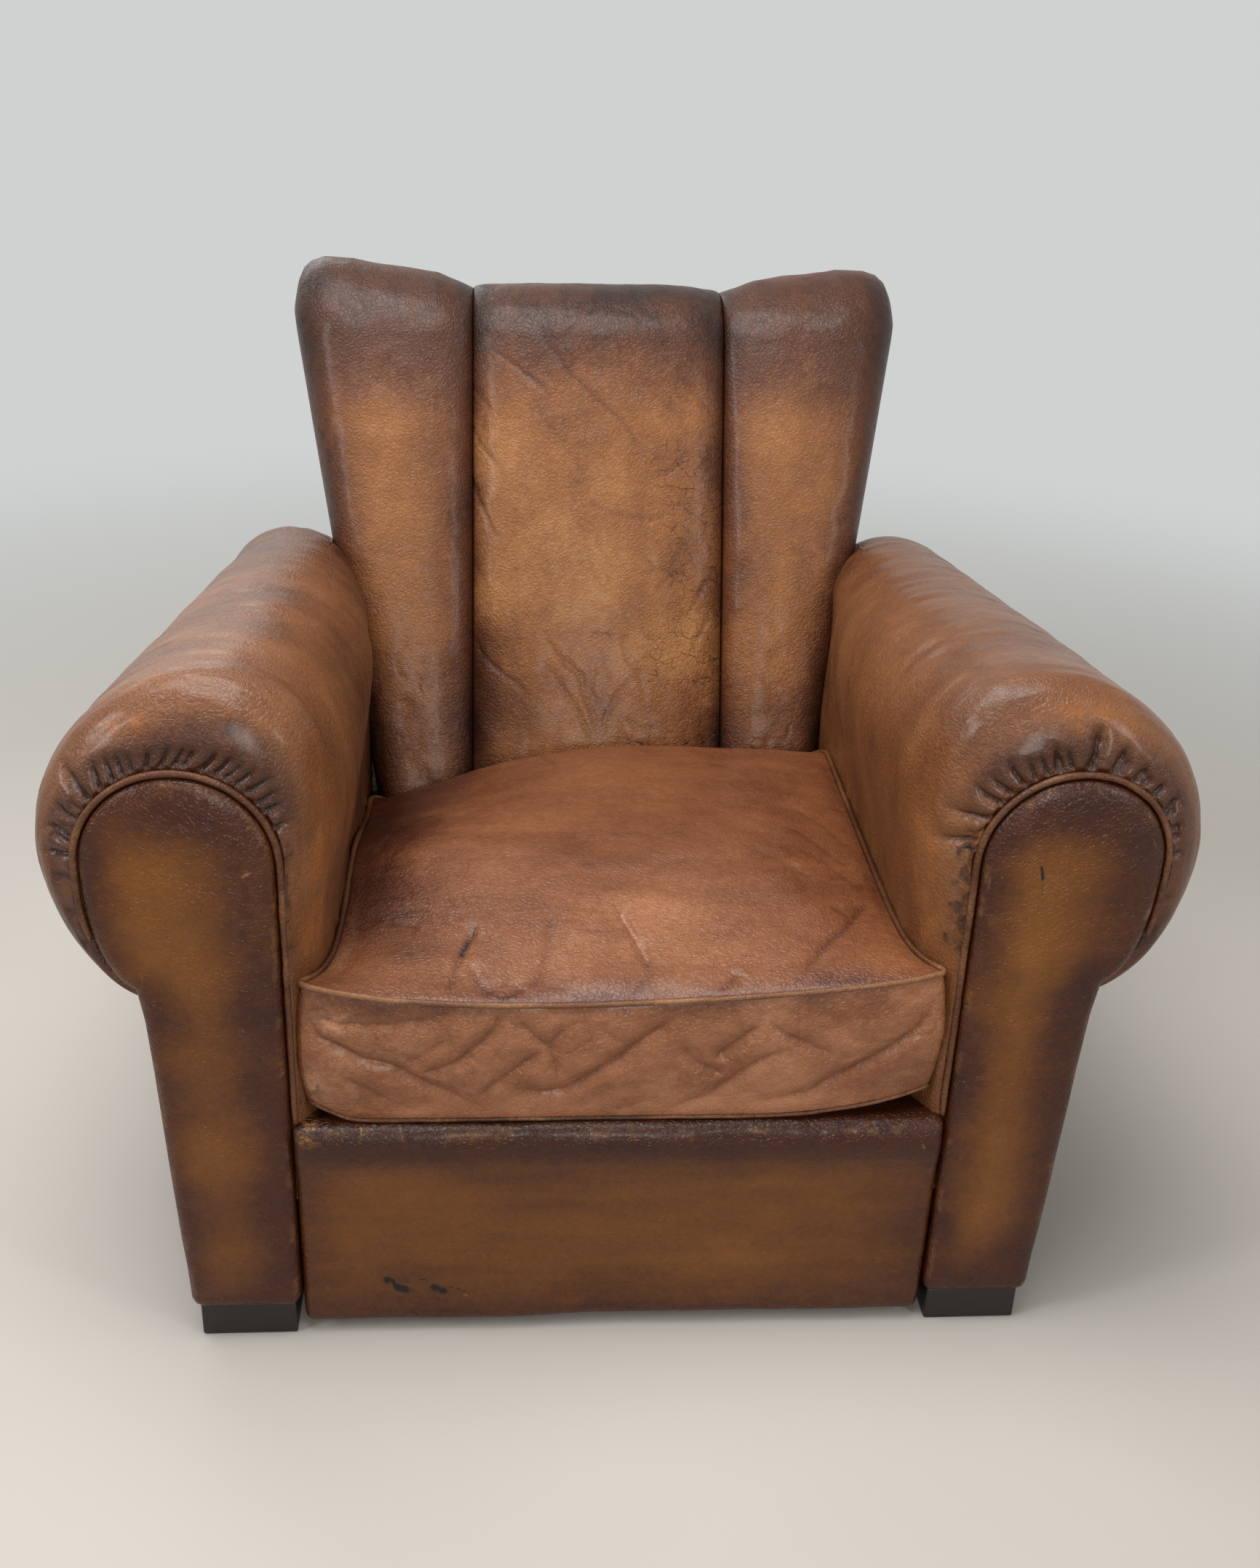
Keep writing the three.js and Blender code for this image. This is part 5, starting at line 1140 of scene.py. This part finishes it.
def welt_piece(name, path, radius, base_tone, material):
    """A cord that closes on itself along a seam, swaying by a third of a millimetre and thicker and
    thinner by a twelfth: a grid of quads that wraps both ways."""
    path[:, 0] = np.clip(path[:, 0], -0.2735, 0.273)
    path = even(np.vstack([path, path[:1]]), 0.004)[:-1]
    sway = [noise(path, 0.03, 51), noise(path, 0.03, 52), noise(path, 0.02, 53)]
    path = path + 0.0003 * np.stack(sway, -1)
    thick = radius * (1 + 0.08 * noise(path, 0.015, 55))
    ring = tube(np.vstack([path[-1:], path, path[:1]]), np.concatenate([thick[-1:], thick, thick[:1]]),
                (0, 0, 1), 12)[1:-1]
    behind = smooth((ring[..., 1] - 0.01) / 0.02)
    paint = {"tone": base_tone + 0.2 * noise(ring, 0.05, 56) - 0.3 * behind,
             "wear_and_highlight": np.clip(0.3 + 0.35 * noise(ring, 0.04, 54) - 0.4 * behind, 0, 1)}
    count, sides = ring.shape[:2]
    index = np.arange(count * sides).reshape(count, sides)
    index = np.vstack([index, index[:1]])
    index = np.hstack([index, index[:, :1]])
    made = (ring.reshape(-1, 3), quads(index), NO_TRIANGLES)
    skin(name, made, material, ["cushion_" + name], paint)


# Scuffs and nicks of the apron: a line of X and Z and its width in mm, and its strength
SCUFFS = [
    ([(-212.1, 69.8), (-205.8, 62.6), (-197.4, 54.5), (-186.7, 50.5), (-183.4, 54.5)], 5.2, 1.0),
    ([(-208.9, 69.7), (-199.4, 62.4), (-192.9, 62.2), (-184.3, 60.6), (-173.5, 64.5),
      (-167.1, 57.3)], 1.1, 0.9),
    ([(-169, 59), (-164, 53), (-158, 49.5), (-152, 53)], 5, 1.0),
    ([(-156, 56), (-143.3, 51.5), (-133.6, 47)], 1, 0.9),
    ([(-166.7, 177.8), (-157.8, 181.6), (-145.3, 183.7)], 1, 0.5),
    ([(-124, 97.4), (-122.5, 96.8)], 1.8, 0.6), ([(-264, 79), (-263, 90)], 0.9, 0.4),
]
NICKS = [
    ([(-137.2, 44.5), (-136.2, 42.5)], 1.6, 1.0), ([(-232.9, 177.8), (-227.7, 176.7)], 0.9, 0.7),
    ([(-226, 220), (-223.5, 233)], 1, 0.6), ([(-192.8, 234), (-187, 219)], 1, 0.5),
    ([(-262, 60), (-258, 52)], 1.2, 0.4), ([(266, 205), (262, 214)], 1.4, 0.6),
]


def apron_piece(material):
    """The front panel: a profile of depth and height, carried across, its ends rolled back over 9 mm and
    its lower corners rounded. The nosing stands 12 mm proud under the top edge."""
    profile = np.array([[0.0198, 0.011], [0.008, 0.0108], [0.0015, 0.0118], [-0.0012, 0.0155],
                        [-0.003, 0.03], [-0.0045, 0.07], [-0.0055, 0.12], [-0.0058, 0.160],
                        [-0.0066, 0.178], [-0.0092, 0.192], [-0.0115, 0.204], [-0.0122, 0.213],
                        [-0.0112, 0.222], [-0.0075, 0.230], [0.0, 0.2338], [0.012, 0.2350],
                        [0.045, 0.2350]])
    run = np.concatenate([[0], np.cumsum(np.linalg.norm(np.diff(profile, axis=0), axis=1))])
    s = np.linspace(0, run[-1], 120)
    round_off = np.array([np.interp(s, run, profile[:, k]) for k in (0, 1)])
    kernel = bell(np.arange(-6, 7), 3.0)
    kernel /= kernel.sum()
    padded = np.pad(round_off, ((0, 0), (6, 6)), mode="edge")
    y0, z0 = (np.convolve(row, kernel, "valid") for row in padded)
    u = np.linspace(-1, 1, 300)
    u = np.sign(u) * (1 - (1 - abs(u)) ** 1.15)
    x = u[None] * APRON_HALF + 0 * y0[:, None]
    end = APRON_HALF - abs(x)
    z = z0[:, None] + 0 * x
    y = y0[:, None] + 0 * x
    corner = 1 - quarter(end, 0.014)
    z = np.maximum(z, APRON_BOTTOM + 0.013 * corner)
    shrink = 1 - quarter(end, 0.009)
    y = y + 0.013 * shrink * smooth((0.05 - y) / 0.03)
    front = np.stack([x, y, z], -1)
    out = outward(front, (60, 150), (0, -1, 0))
    calm = smooth(end / 0.02)
    sag = noise(front, (0.11, 1, 0.06), 61)
    height = calm * (0.0012 * sag + 0.0006 * fractal(front, (0.05, 1, 0.03), 62, 3))
    ripple = fractal(front, (0.028, 1, 0.03), 63, 2) * bell(z - 0.222, 0.012)
    height = height + 0.0009 * ripple
    front = pushed(front, out, height)
    inner = np.stack([x * 0.985, np.maximum(y + 0.014, 0.0165), np.clip(z, 0.014, 0.232)], -1)
    blotch = fractal(front, (0.09, 1, 0.05), 64, 4)
    streak = fractal(front, (0.10, 1, 0.012), 67, 3)
    low = smooth((z - 0.006) / 0.08) * smooth((0.218 - z) / 0.055) * smooth((end + 0.012) / 0.06)
    tone = 0.32 + 0.34 * low * (0.85 + 0.25 * blotch) + 0.05 * streak - 0.14 * smooth((z - 0.185) / 0.03)
    tone = tone - 0.12 * low * smooth((x - 0.12) / 0.15) + 0.05 * low * bell(x + 0.02, 0.12)
    edges = fractal(front, 0.006, 65, 2)
    scuff = marks(x, z, SCUFFS) * smooth(0.95 + 0.9 * edges)
    corner_wear = bell(np.hypot(x + 0.270, z - 0.228), 0.013) * smooth(0.6 + 1.5 * edges)
    # A pale broken line along the nosing: partly rubbing, partly a painted highlight
    nosing = bell(z - 0.226, 0.006) * smooth(fractal(front, 0.02, 66, 3) * 3 - 0.2)
    paint = {"tone": np.clip(tone, 0, 1),
             "wear_and_highlight": np.clip(0.55 * corner_wear + 0.35 * nosing + marks(x, z, NICKS), 0, 1),
             "grime_and_shade": np.clip(scuff + 0.4 * bell(end, 0.003), 0, 1)}
    made = shell_faces(front, [], inner)
    full = {k: np.concatenate([v.ravel(), np.full(x.size, 0.1)]) for k, v in paint.items()}
    skin("apron_leather", made, material, ["apron"], full, 1)


# Outside panels and feet


def slab_piece(name, surface, material, nodes, side, tone, seed):
    """A stretched sheet of leather over the frame: a grid, 5 mm thick, its edges rounded over by 4 mm,
    with soft hollows between the timbers."""
    thick = 0.005
    nu, nv = surface.shape[:2]
    middle = (nu // 2, nv // 2)
    out = outward(surface, middle, surface[middle] - CHAIR_MIDDLE)
    u = np.linspace(0, 1, nu)[:, None]
    v = np.linspace(0, 1, nv)[None]
    long_u = np.linalg.norm(np.diff(surface[:, nv // 2], axis=0), axis=1).sum()
    long_v = np.linalg.norm(np.diff(surface[nu // 2], axis=0), axis=1).sum()
    away = np.minimum(np.minimum(u, 1 - u) * long_u, np.minimum(v, 1 - v) * long_v)
    place = surface * (side, 1, 1)
    hollow = 0.0012 * fractal(place, 0.14, seed, 3) - 0.0014 * smooth(away / 0.10)
    height = (quarter(away, 0.004) - 1) * thick * 0.7 + hollow * smooth(away / 0.03)
    outer = pushed(surface, out, height)
    inner = pushed(surface, out, np.full((nu, nv), -thick))
    shade = tone + 0.14 * fractal(place, 0.12, seed + 5, 3) - 0.2 * bell(away, 0.02)
    hidden = np.zeros(nu * nv)
    paint = {"tone": np.concatenate([shade.ravel(), hidden + 0.2]),
             "grime_and_shade": np.concatenate([0.35 * bell(away, 0.006).ravel(), hidden])}
    skin(name, shell_faces(outer, [], inner), material, nodes, paint, side)


def outside_pieces(arm, back):
    """The outside arm panels, under the rolls, and the outside back, cut to the arms' ends and the wings."""
    for side in (-1, 1):
        u = np.linspace(0, 1, 130)[:, None]
        v = np.linspace(0, 1, 90)[None]
        front = BOARD_BACK + GAP
        y = mix(front, frame_rear(0.40), u) + 0 * v
        z = mix(FOOT_HEIGHT + GAP, crease(y)[1] - 0.001, v)
        y = mix(front, frame_rear(z), u)
        z = mix(FOOT_HEIGHT + GAP, crease(y)[1] - 0.001, v)
        surface = np.stack([panel_x(y, z), y, z], -1)
        slab_piece("outside_arm_" + ENDS[side] + "_leather", surface, arm,
                   ["outside_arm_" + ENDS[side]], side, 0.35, 71 + side)
    heights = np.concatenate([np.linspace(PANEL_FOOT, 0.40, 60), np.linspace(0.40, 0.60, 60)[1:],
                              np.linspace(0.60, HEAD[1] - 0.002, 30)[1:]])
    z0, r = roll(ARM_BACK)
    r = r - 0.0015
    low = crease(ARM_BACK)[1] - 0.006
    edge = np.where(heights < low, panel_x(outside_back(heights), heights), 0)
    rolled = ROLL_X + np.sqrt(np.clip(r**2 - (heights - z0) ** 2, 0, None))
    edge = np.where((heights >= low) & (heights < z0 + r), np.maximum(rolled, wing_edge(heights)), edge)
    edge = np.where(heights >= z0 + r, wing_edge(heights), edge)
    u = np.linspace(-1, 1, 170)[None]
    z = heights[:, None] + 0 * u
    surface = np.stack([u * edge[:, None], outside_back(z), z], -1)
    slab_piece("outside_back_leather", surface, back, ["outside_back"], 1, 0.38, 81)


def foot_pieces(material):
    """Four square blocks: a rounded box whose corners and edges are bevelled by 2.5 mm."""
    for name in ("front_foot_left", "front_foot_right", "back_foot_left", "back_foot_right"):
        low, high = (np.array(c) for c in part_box(name))
        corners = np.array([[x, y, z] for z in (0, 1) for y in (0, 1) for x in (0, 1)], float)
        vertices = mix(low, high, corners)
        faces = np.array([[0, 2, 3, 1], [4, 5, 7, 6], [0, 1, 5, 4], [1, 3, 7, 5], [3, 2, 6, 7], [2, 0, 4, 6]])
        vertices = vertices - (0, FRONT, 0)
        piece = skin(name + "_block", (vertices, faces, NO_TRIANGLES), material, [name])
        bevel = piece.modifiers.new("rounded edges", "BEVEL")
        bevel.width, bevel.segments, bevel.limit_method = 0.0025, 3, "NONE"


def wood(name, dark, light, roughness):
    """Timber: growth lines about 5 mm apart, wavering along the grain, in a darker and a lighter tone."""
    m, place = new_material(name)
    turned = add(m, "Mapping", "Vector", {"Vector": place, "Scale": (12, 12, 90)})
    grain = add(m, "TexNoise", "Fac", {"Vector": turned, "Scale": 2.0, "Detail": 6.0, "Roughness": 0.65,
                                       "Distortion": 0.4})
    colour = add(m, "ValToRGB", "Color", {"Fac": grain}, [(0.3, dark), (0.7, light)])
    bump = add(m, "Bump", "Normal", {"Height": grain, "Strength": 0.3, "Distance": 0.0006})
    shader = add(m, "BsdfPrincipled", "BSDF", {"Base Color": colour, "Roughness": roughness, "Normal": bump})
    add(m, "OutputMaterial", None, {"Surface": shader})
    return m


# Blender's wave texture repeats every 0.314 m at a scale of 1
WAVE_PERIOD = 0.314


def cloth(name, dark, light, spacing):
    """Woven cloth: two crossed waves at the thread spacing make its threads light and its gaps dark."""
    m, place = new_material(name)
    wave = {"Vector": place, "Scale": WAVE_PERIOD / spacing, "Distortion": 0.6, "Detail": 1.0}
    warp, weft = (add(m, "TexWave", "Fac", wave, bands_direction=axis) for axis in ("X", "Y"))
    weave = add(m, "Math", "Value", {0: warp, 1: weft}, operation="MULTIPLY")
    colour = add(m, "ValToRGB", "Color", {"Fac": weave}, [(0.0, dark), (0.7, light)])
    bump = add(m, "Bump", "Normal", {"Height": weave, "Strength": 0.4, "Distance": spacing / 4})
    shader = add(m, "BsdfPrincipled", "BSDF", {"Base Color": colour, "Roughness": 0.9, "Normal": bump})
    add(m, "OutputMaterial", None, {"Surface": shader})
    return m


def steel(name):
    """Drawn steel wire, dulled by age: a fine noise of 3 mm moves its roughness."""
    m, place = new_material(name)
    patina = add(m, "TexNoise", "Fac", {"Vector": place, "Scale": 330.0, "Detail": 4.0})
    colour = add(m, "ValToRGB", "Color", {"Fac": patina}, [(0.3, "#4a4541"), (0.75, "#85807a")])
    dull = add(m, "MapRange", "Result", {"Value": patina, "To Min": 0.35, "To Max": 0.6})
    shader = add(m, "BsdfPrincipled", "BSDF", {"Base Color": colour, "Roughness": dull, "Metallic": 1.0})
    add(m, "OutputMaterial", None, {"Surface": shader})
    return m


def dress_frame(materials):
    """The hidden frame keeps its solids and takes real finishes."""
    for node in frame["record"]["subparts"]:
        chosen = materials.get(node["material_slot"])
        piece = frame["nodes"][node["node"]]
        if chosen is None or piece.hide_render:
            continue
        piece.data.materials.clear()
        piece.data.materials.append(chosen)


# The photograph's camera, worked out from its perspective: focal length in its pixels, place and turns
PHOTO_HEIGHT = 2156
FOCAL_PIXELS = 2371.23
SENSOR = 36.0
EYE = (-0.10778, -1.20399, 1.15346)
YAW, PITCH, ROLL = 0.08478, 0.4577, -0.03879


def make_camera():
    """Looks 26 degrees down from 1.15 m up, rolled by 2 degrees, and takes in 24.4 degrees above and
    below its middle."""
    ahead = np.array([np.sin(YAW) * np.cos(PITCH), np.cos(YAW) * np.cos(PITCH), -np.sin(PITCH)])
    right = np.array([np.cos(YAW), -np.sin(YAW), 0.0])
    down = np.cross(ahead, right)
    across = np.cos(ROLL) * right + np.sin(ROLL) * down
    below = -np.sin(ROLL) * right + np.cos(ROLL) * down
    data = bpy.data.cameras.new("camera")
    data.sensor_width = SENSOR
    data.lens = FOCAL_PIXELS / PHOTO_HEIGHT * SENSOR
    camera = bpy.data.objects.new("camera", data)
    turn = Matrix((across, -below, -ahead)).transposed().to_4x4()
    camera.matrix_world = Matrix.Translation((EYE[0], EYE[1] + FRONT, EYE[2])) @ turn
    bpy.context.scene.collection.objects.link(camera)
    bpy.context.scene.camera = camera


def lamp(name, place, aim, size, power, colour):
    """A soft rectangular lamp that looks at a point."""
    data = bpy.data.lights.new(name, "AREA")
    data.shape = "RECTANGLE"
    data.size, data.size_y = size
    data.energy, data.color = power, colour
    light = bpy.data.objects.new(name, data)
    light.location = place
    light.rotation_mode = "QUATERNION"
    light.rotation_quaternion = (Vector(aim) - Vector(place)).to_track_quat("-Z", "Y")
    bpy.context.scene.collection.objects.link(light)


def background_seen(tree):
    """One where the camera or a gloss looks, and nought where light is gathered."""
    rays = {k: add(tree, "LightPath", ray, {}) for k, ray in enumerate(("Is Camera Ray", "Is Glossy Ray"))}
    return add(tree, "Math", "Value", rays, operation="MAXIMUM")


def light_room():
    """A plain pale floor, a big soft light overhead, weaker ones at the window, the right and ahead, and
    an even pale surround. Where the camera sees it, the floor passes into the surround's own colour
    between 0.8 and 2.8 m from the chair, so no edge shows behind it."""
    pale = srgb("#cfd2d1")
    m, place = new_material("pale_floor")
    cloud = add(m, "TexNoise", "Fac", {"Vector": place, "Scale": 1.5, "Detail": 3.0})
    colour = add(m, "ValToRGB", "Color", {"Fac": cloud}, [(0.2, "#b9b4ad"), (0.8, "#c0bbb4")])
    near = add(m, "BsdfPrincipled", "BSDF", {"Base Color": colour, "Roughness": 0.75})
    far = add(m, "Emission", "Emission", {"Color": pale, "Strength": 1.0})
    away = add(m, "VectorMath", "Value", {0: place}, operation="LENGTH")
    away = add(m, "MapRange", "Result", {"Value": away, "From Min": 0.8, "From Max": 2.8},
               interpolation_type="SMOOTHSTEP")
    seen = add(m, "Math", "Value", {0: background_seen(m), 1: away}, operation="MULTIPLY")
    both = add(m, "MixShader", "Shader", {0: seen, 1: near, 2: far})
    add(m, "OutputMaterial", None, {"Surface": both})
    mesh = bpy.data.meshes.new("floor")
    r = 45.0
    mesh.from_pydata([(-r, -r, 0), (r, -r, 0), (r, r, 0), (-r, r, 0)], [], [(0, 1, 2, 3)])
    mesh.materials.append(m)
    floor = bpy.data.objects.new("floor", mesh)
    bpy.context.scene.collection.objects.link(floor)
    world = bpy.data.worlds.new("studio")
    world.use_nodes = True
    world.node_tree.nodes.clear()
    around = add(world, "Background", "Background", {"Color": srgb("#eef1f2"), "Strength": 0.13})
    behind = add(world, "Background", "Background", {"Color": pale, "Strength": 1.0})
    both = add(world, "MixShader", "Shader", {0: background_seen(world), 1: around, 2: behind})
    add(world, "OutputWorld", None, {"Surface": both})
    bpy.context.scene.world = world
    lamp("overhead", (-0.4, -0.35, 2.5), (0, 0.1, 0.4), (2.0, 1.4), 68, (1.0, 0.985, 0.96))
    lamp("window", (-2.3, -1.4, 1.8), (0, 0, 0.5), (0.5, 1.0), 24, (0.98, 0.99, 1.0))
    lamp("right", (2.1, -2.0, 1.6), (0, 0, 0.5), (0.4, 1.0), 16, (1.0, 0.99, 0.97))
    lamp("ahead", (0.15, -2.9, 1.25), (0, 0, 0.4), (0.6, 0.8), 20, (1.0, 0.98, 0.95))
    lamp("behind", (-1.4, 2.6, 1.9), (0, 0, 0.5), (2.0, 1.0), 16, (0.98, 0.99, 1.0))
    bpy.context.scene.view_settings.view_transform = "Standard"


make_camera()

# Waxed sheepskin, four shades from dark to golden: burnished and smooth on the fronts, matt and
# streaked on the arms, clouded on the back, softly wrinkled on the seat, plain on the cords
facing_hide = leather("burnished_sheepskin_front", ("#200d06", "#421d0a", "#66390f", "#7f4f1a"), "#8a6038",
                      "#120805", 0.31, 0.10, (0.06, 0.06, 0.09), 0.15)
arm_hide = leather("worn_sheepskin_arms", ("#28130b", "#4e2b18", "#744829", "#91633a"), "#98592a",
                   "#1c110a", 0.37, 0.25, (0.07, 0.007, 0.07), 0.5)
back_hide = leather("worn_sheepskin_back", ("#27130b", "#502b17", "#7e4f2a", "#9f6e3d"), "#a0754e",
                    "#180d08", 0.43, 0.12, (0.03, 0.03, 0.02), 0.4)
seat_hide = leather("worn_sheepskin_seat", ("#2b140c", "#522a19", "#7a4a2d", "#a26c4b"), "#a97858",
                    "#180d08", 0.32, 0.2, (0.03, 0.012, 0.012), 0.4)
piping_hide = leather("rubbed_sheepskin_piping", ("#2a140b", "#4a2715", "#684026", "#8c603c"), "#8c603c",
                      "#1c100a", 0.40, 0.1, (0.01, 0.01, 0.01), 0.2)

for side in (-1, 1):
    facing_piece(side, facing_hide)
    piping_piece(side, piping_hide)
    arm_piece(side, arm_hide)
back_pieces(back_hide)
cushion_pieces(seat_hide, piping_hide)
apron_piece(facing_hide)
outside_pieces(arm_hide, back_hide)
foot_pieces(wood("dark_stained_beech", "#0c0705", "#1f130f", 0.5))
dress_frame({
    "beech": wood("bare_beech", "#8f6a42", "#bd9765", 0.7),
    "jute": cloth("jute_webbing", "#6c5733", "#b39a68", 0.002),
    "deck_cloth": cloth("brown_lining", "#2a1a10", "#4d3220", 0.001),
    "black_cloth": cloth("black_dust_cloth", "#0e0d0d", "#262423", 0.001),
    "spring_steel": steel("dull_spring_steel"),
})
light_room()
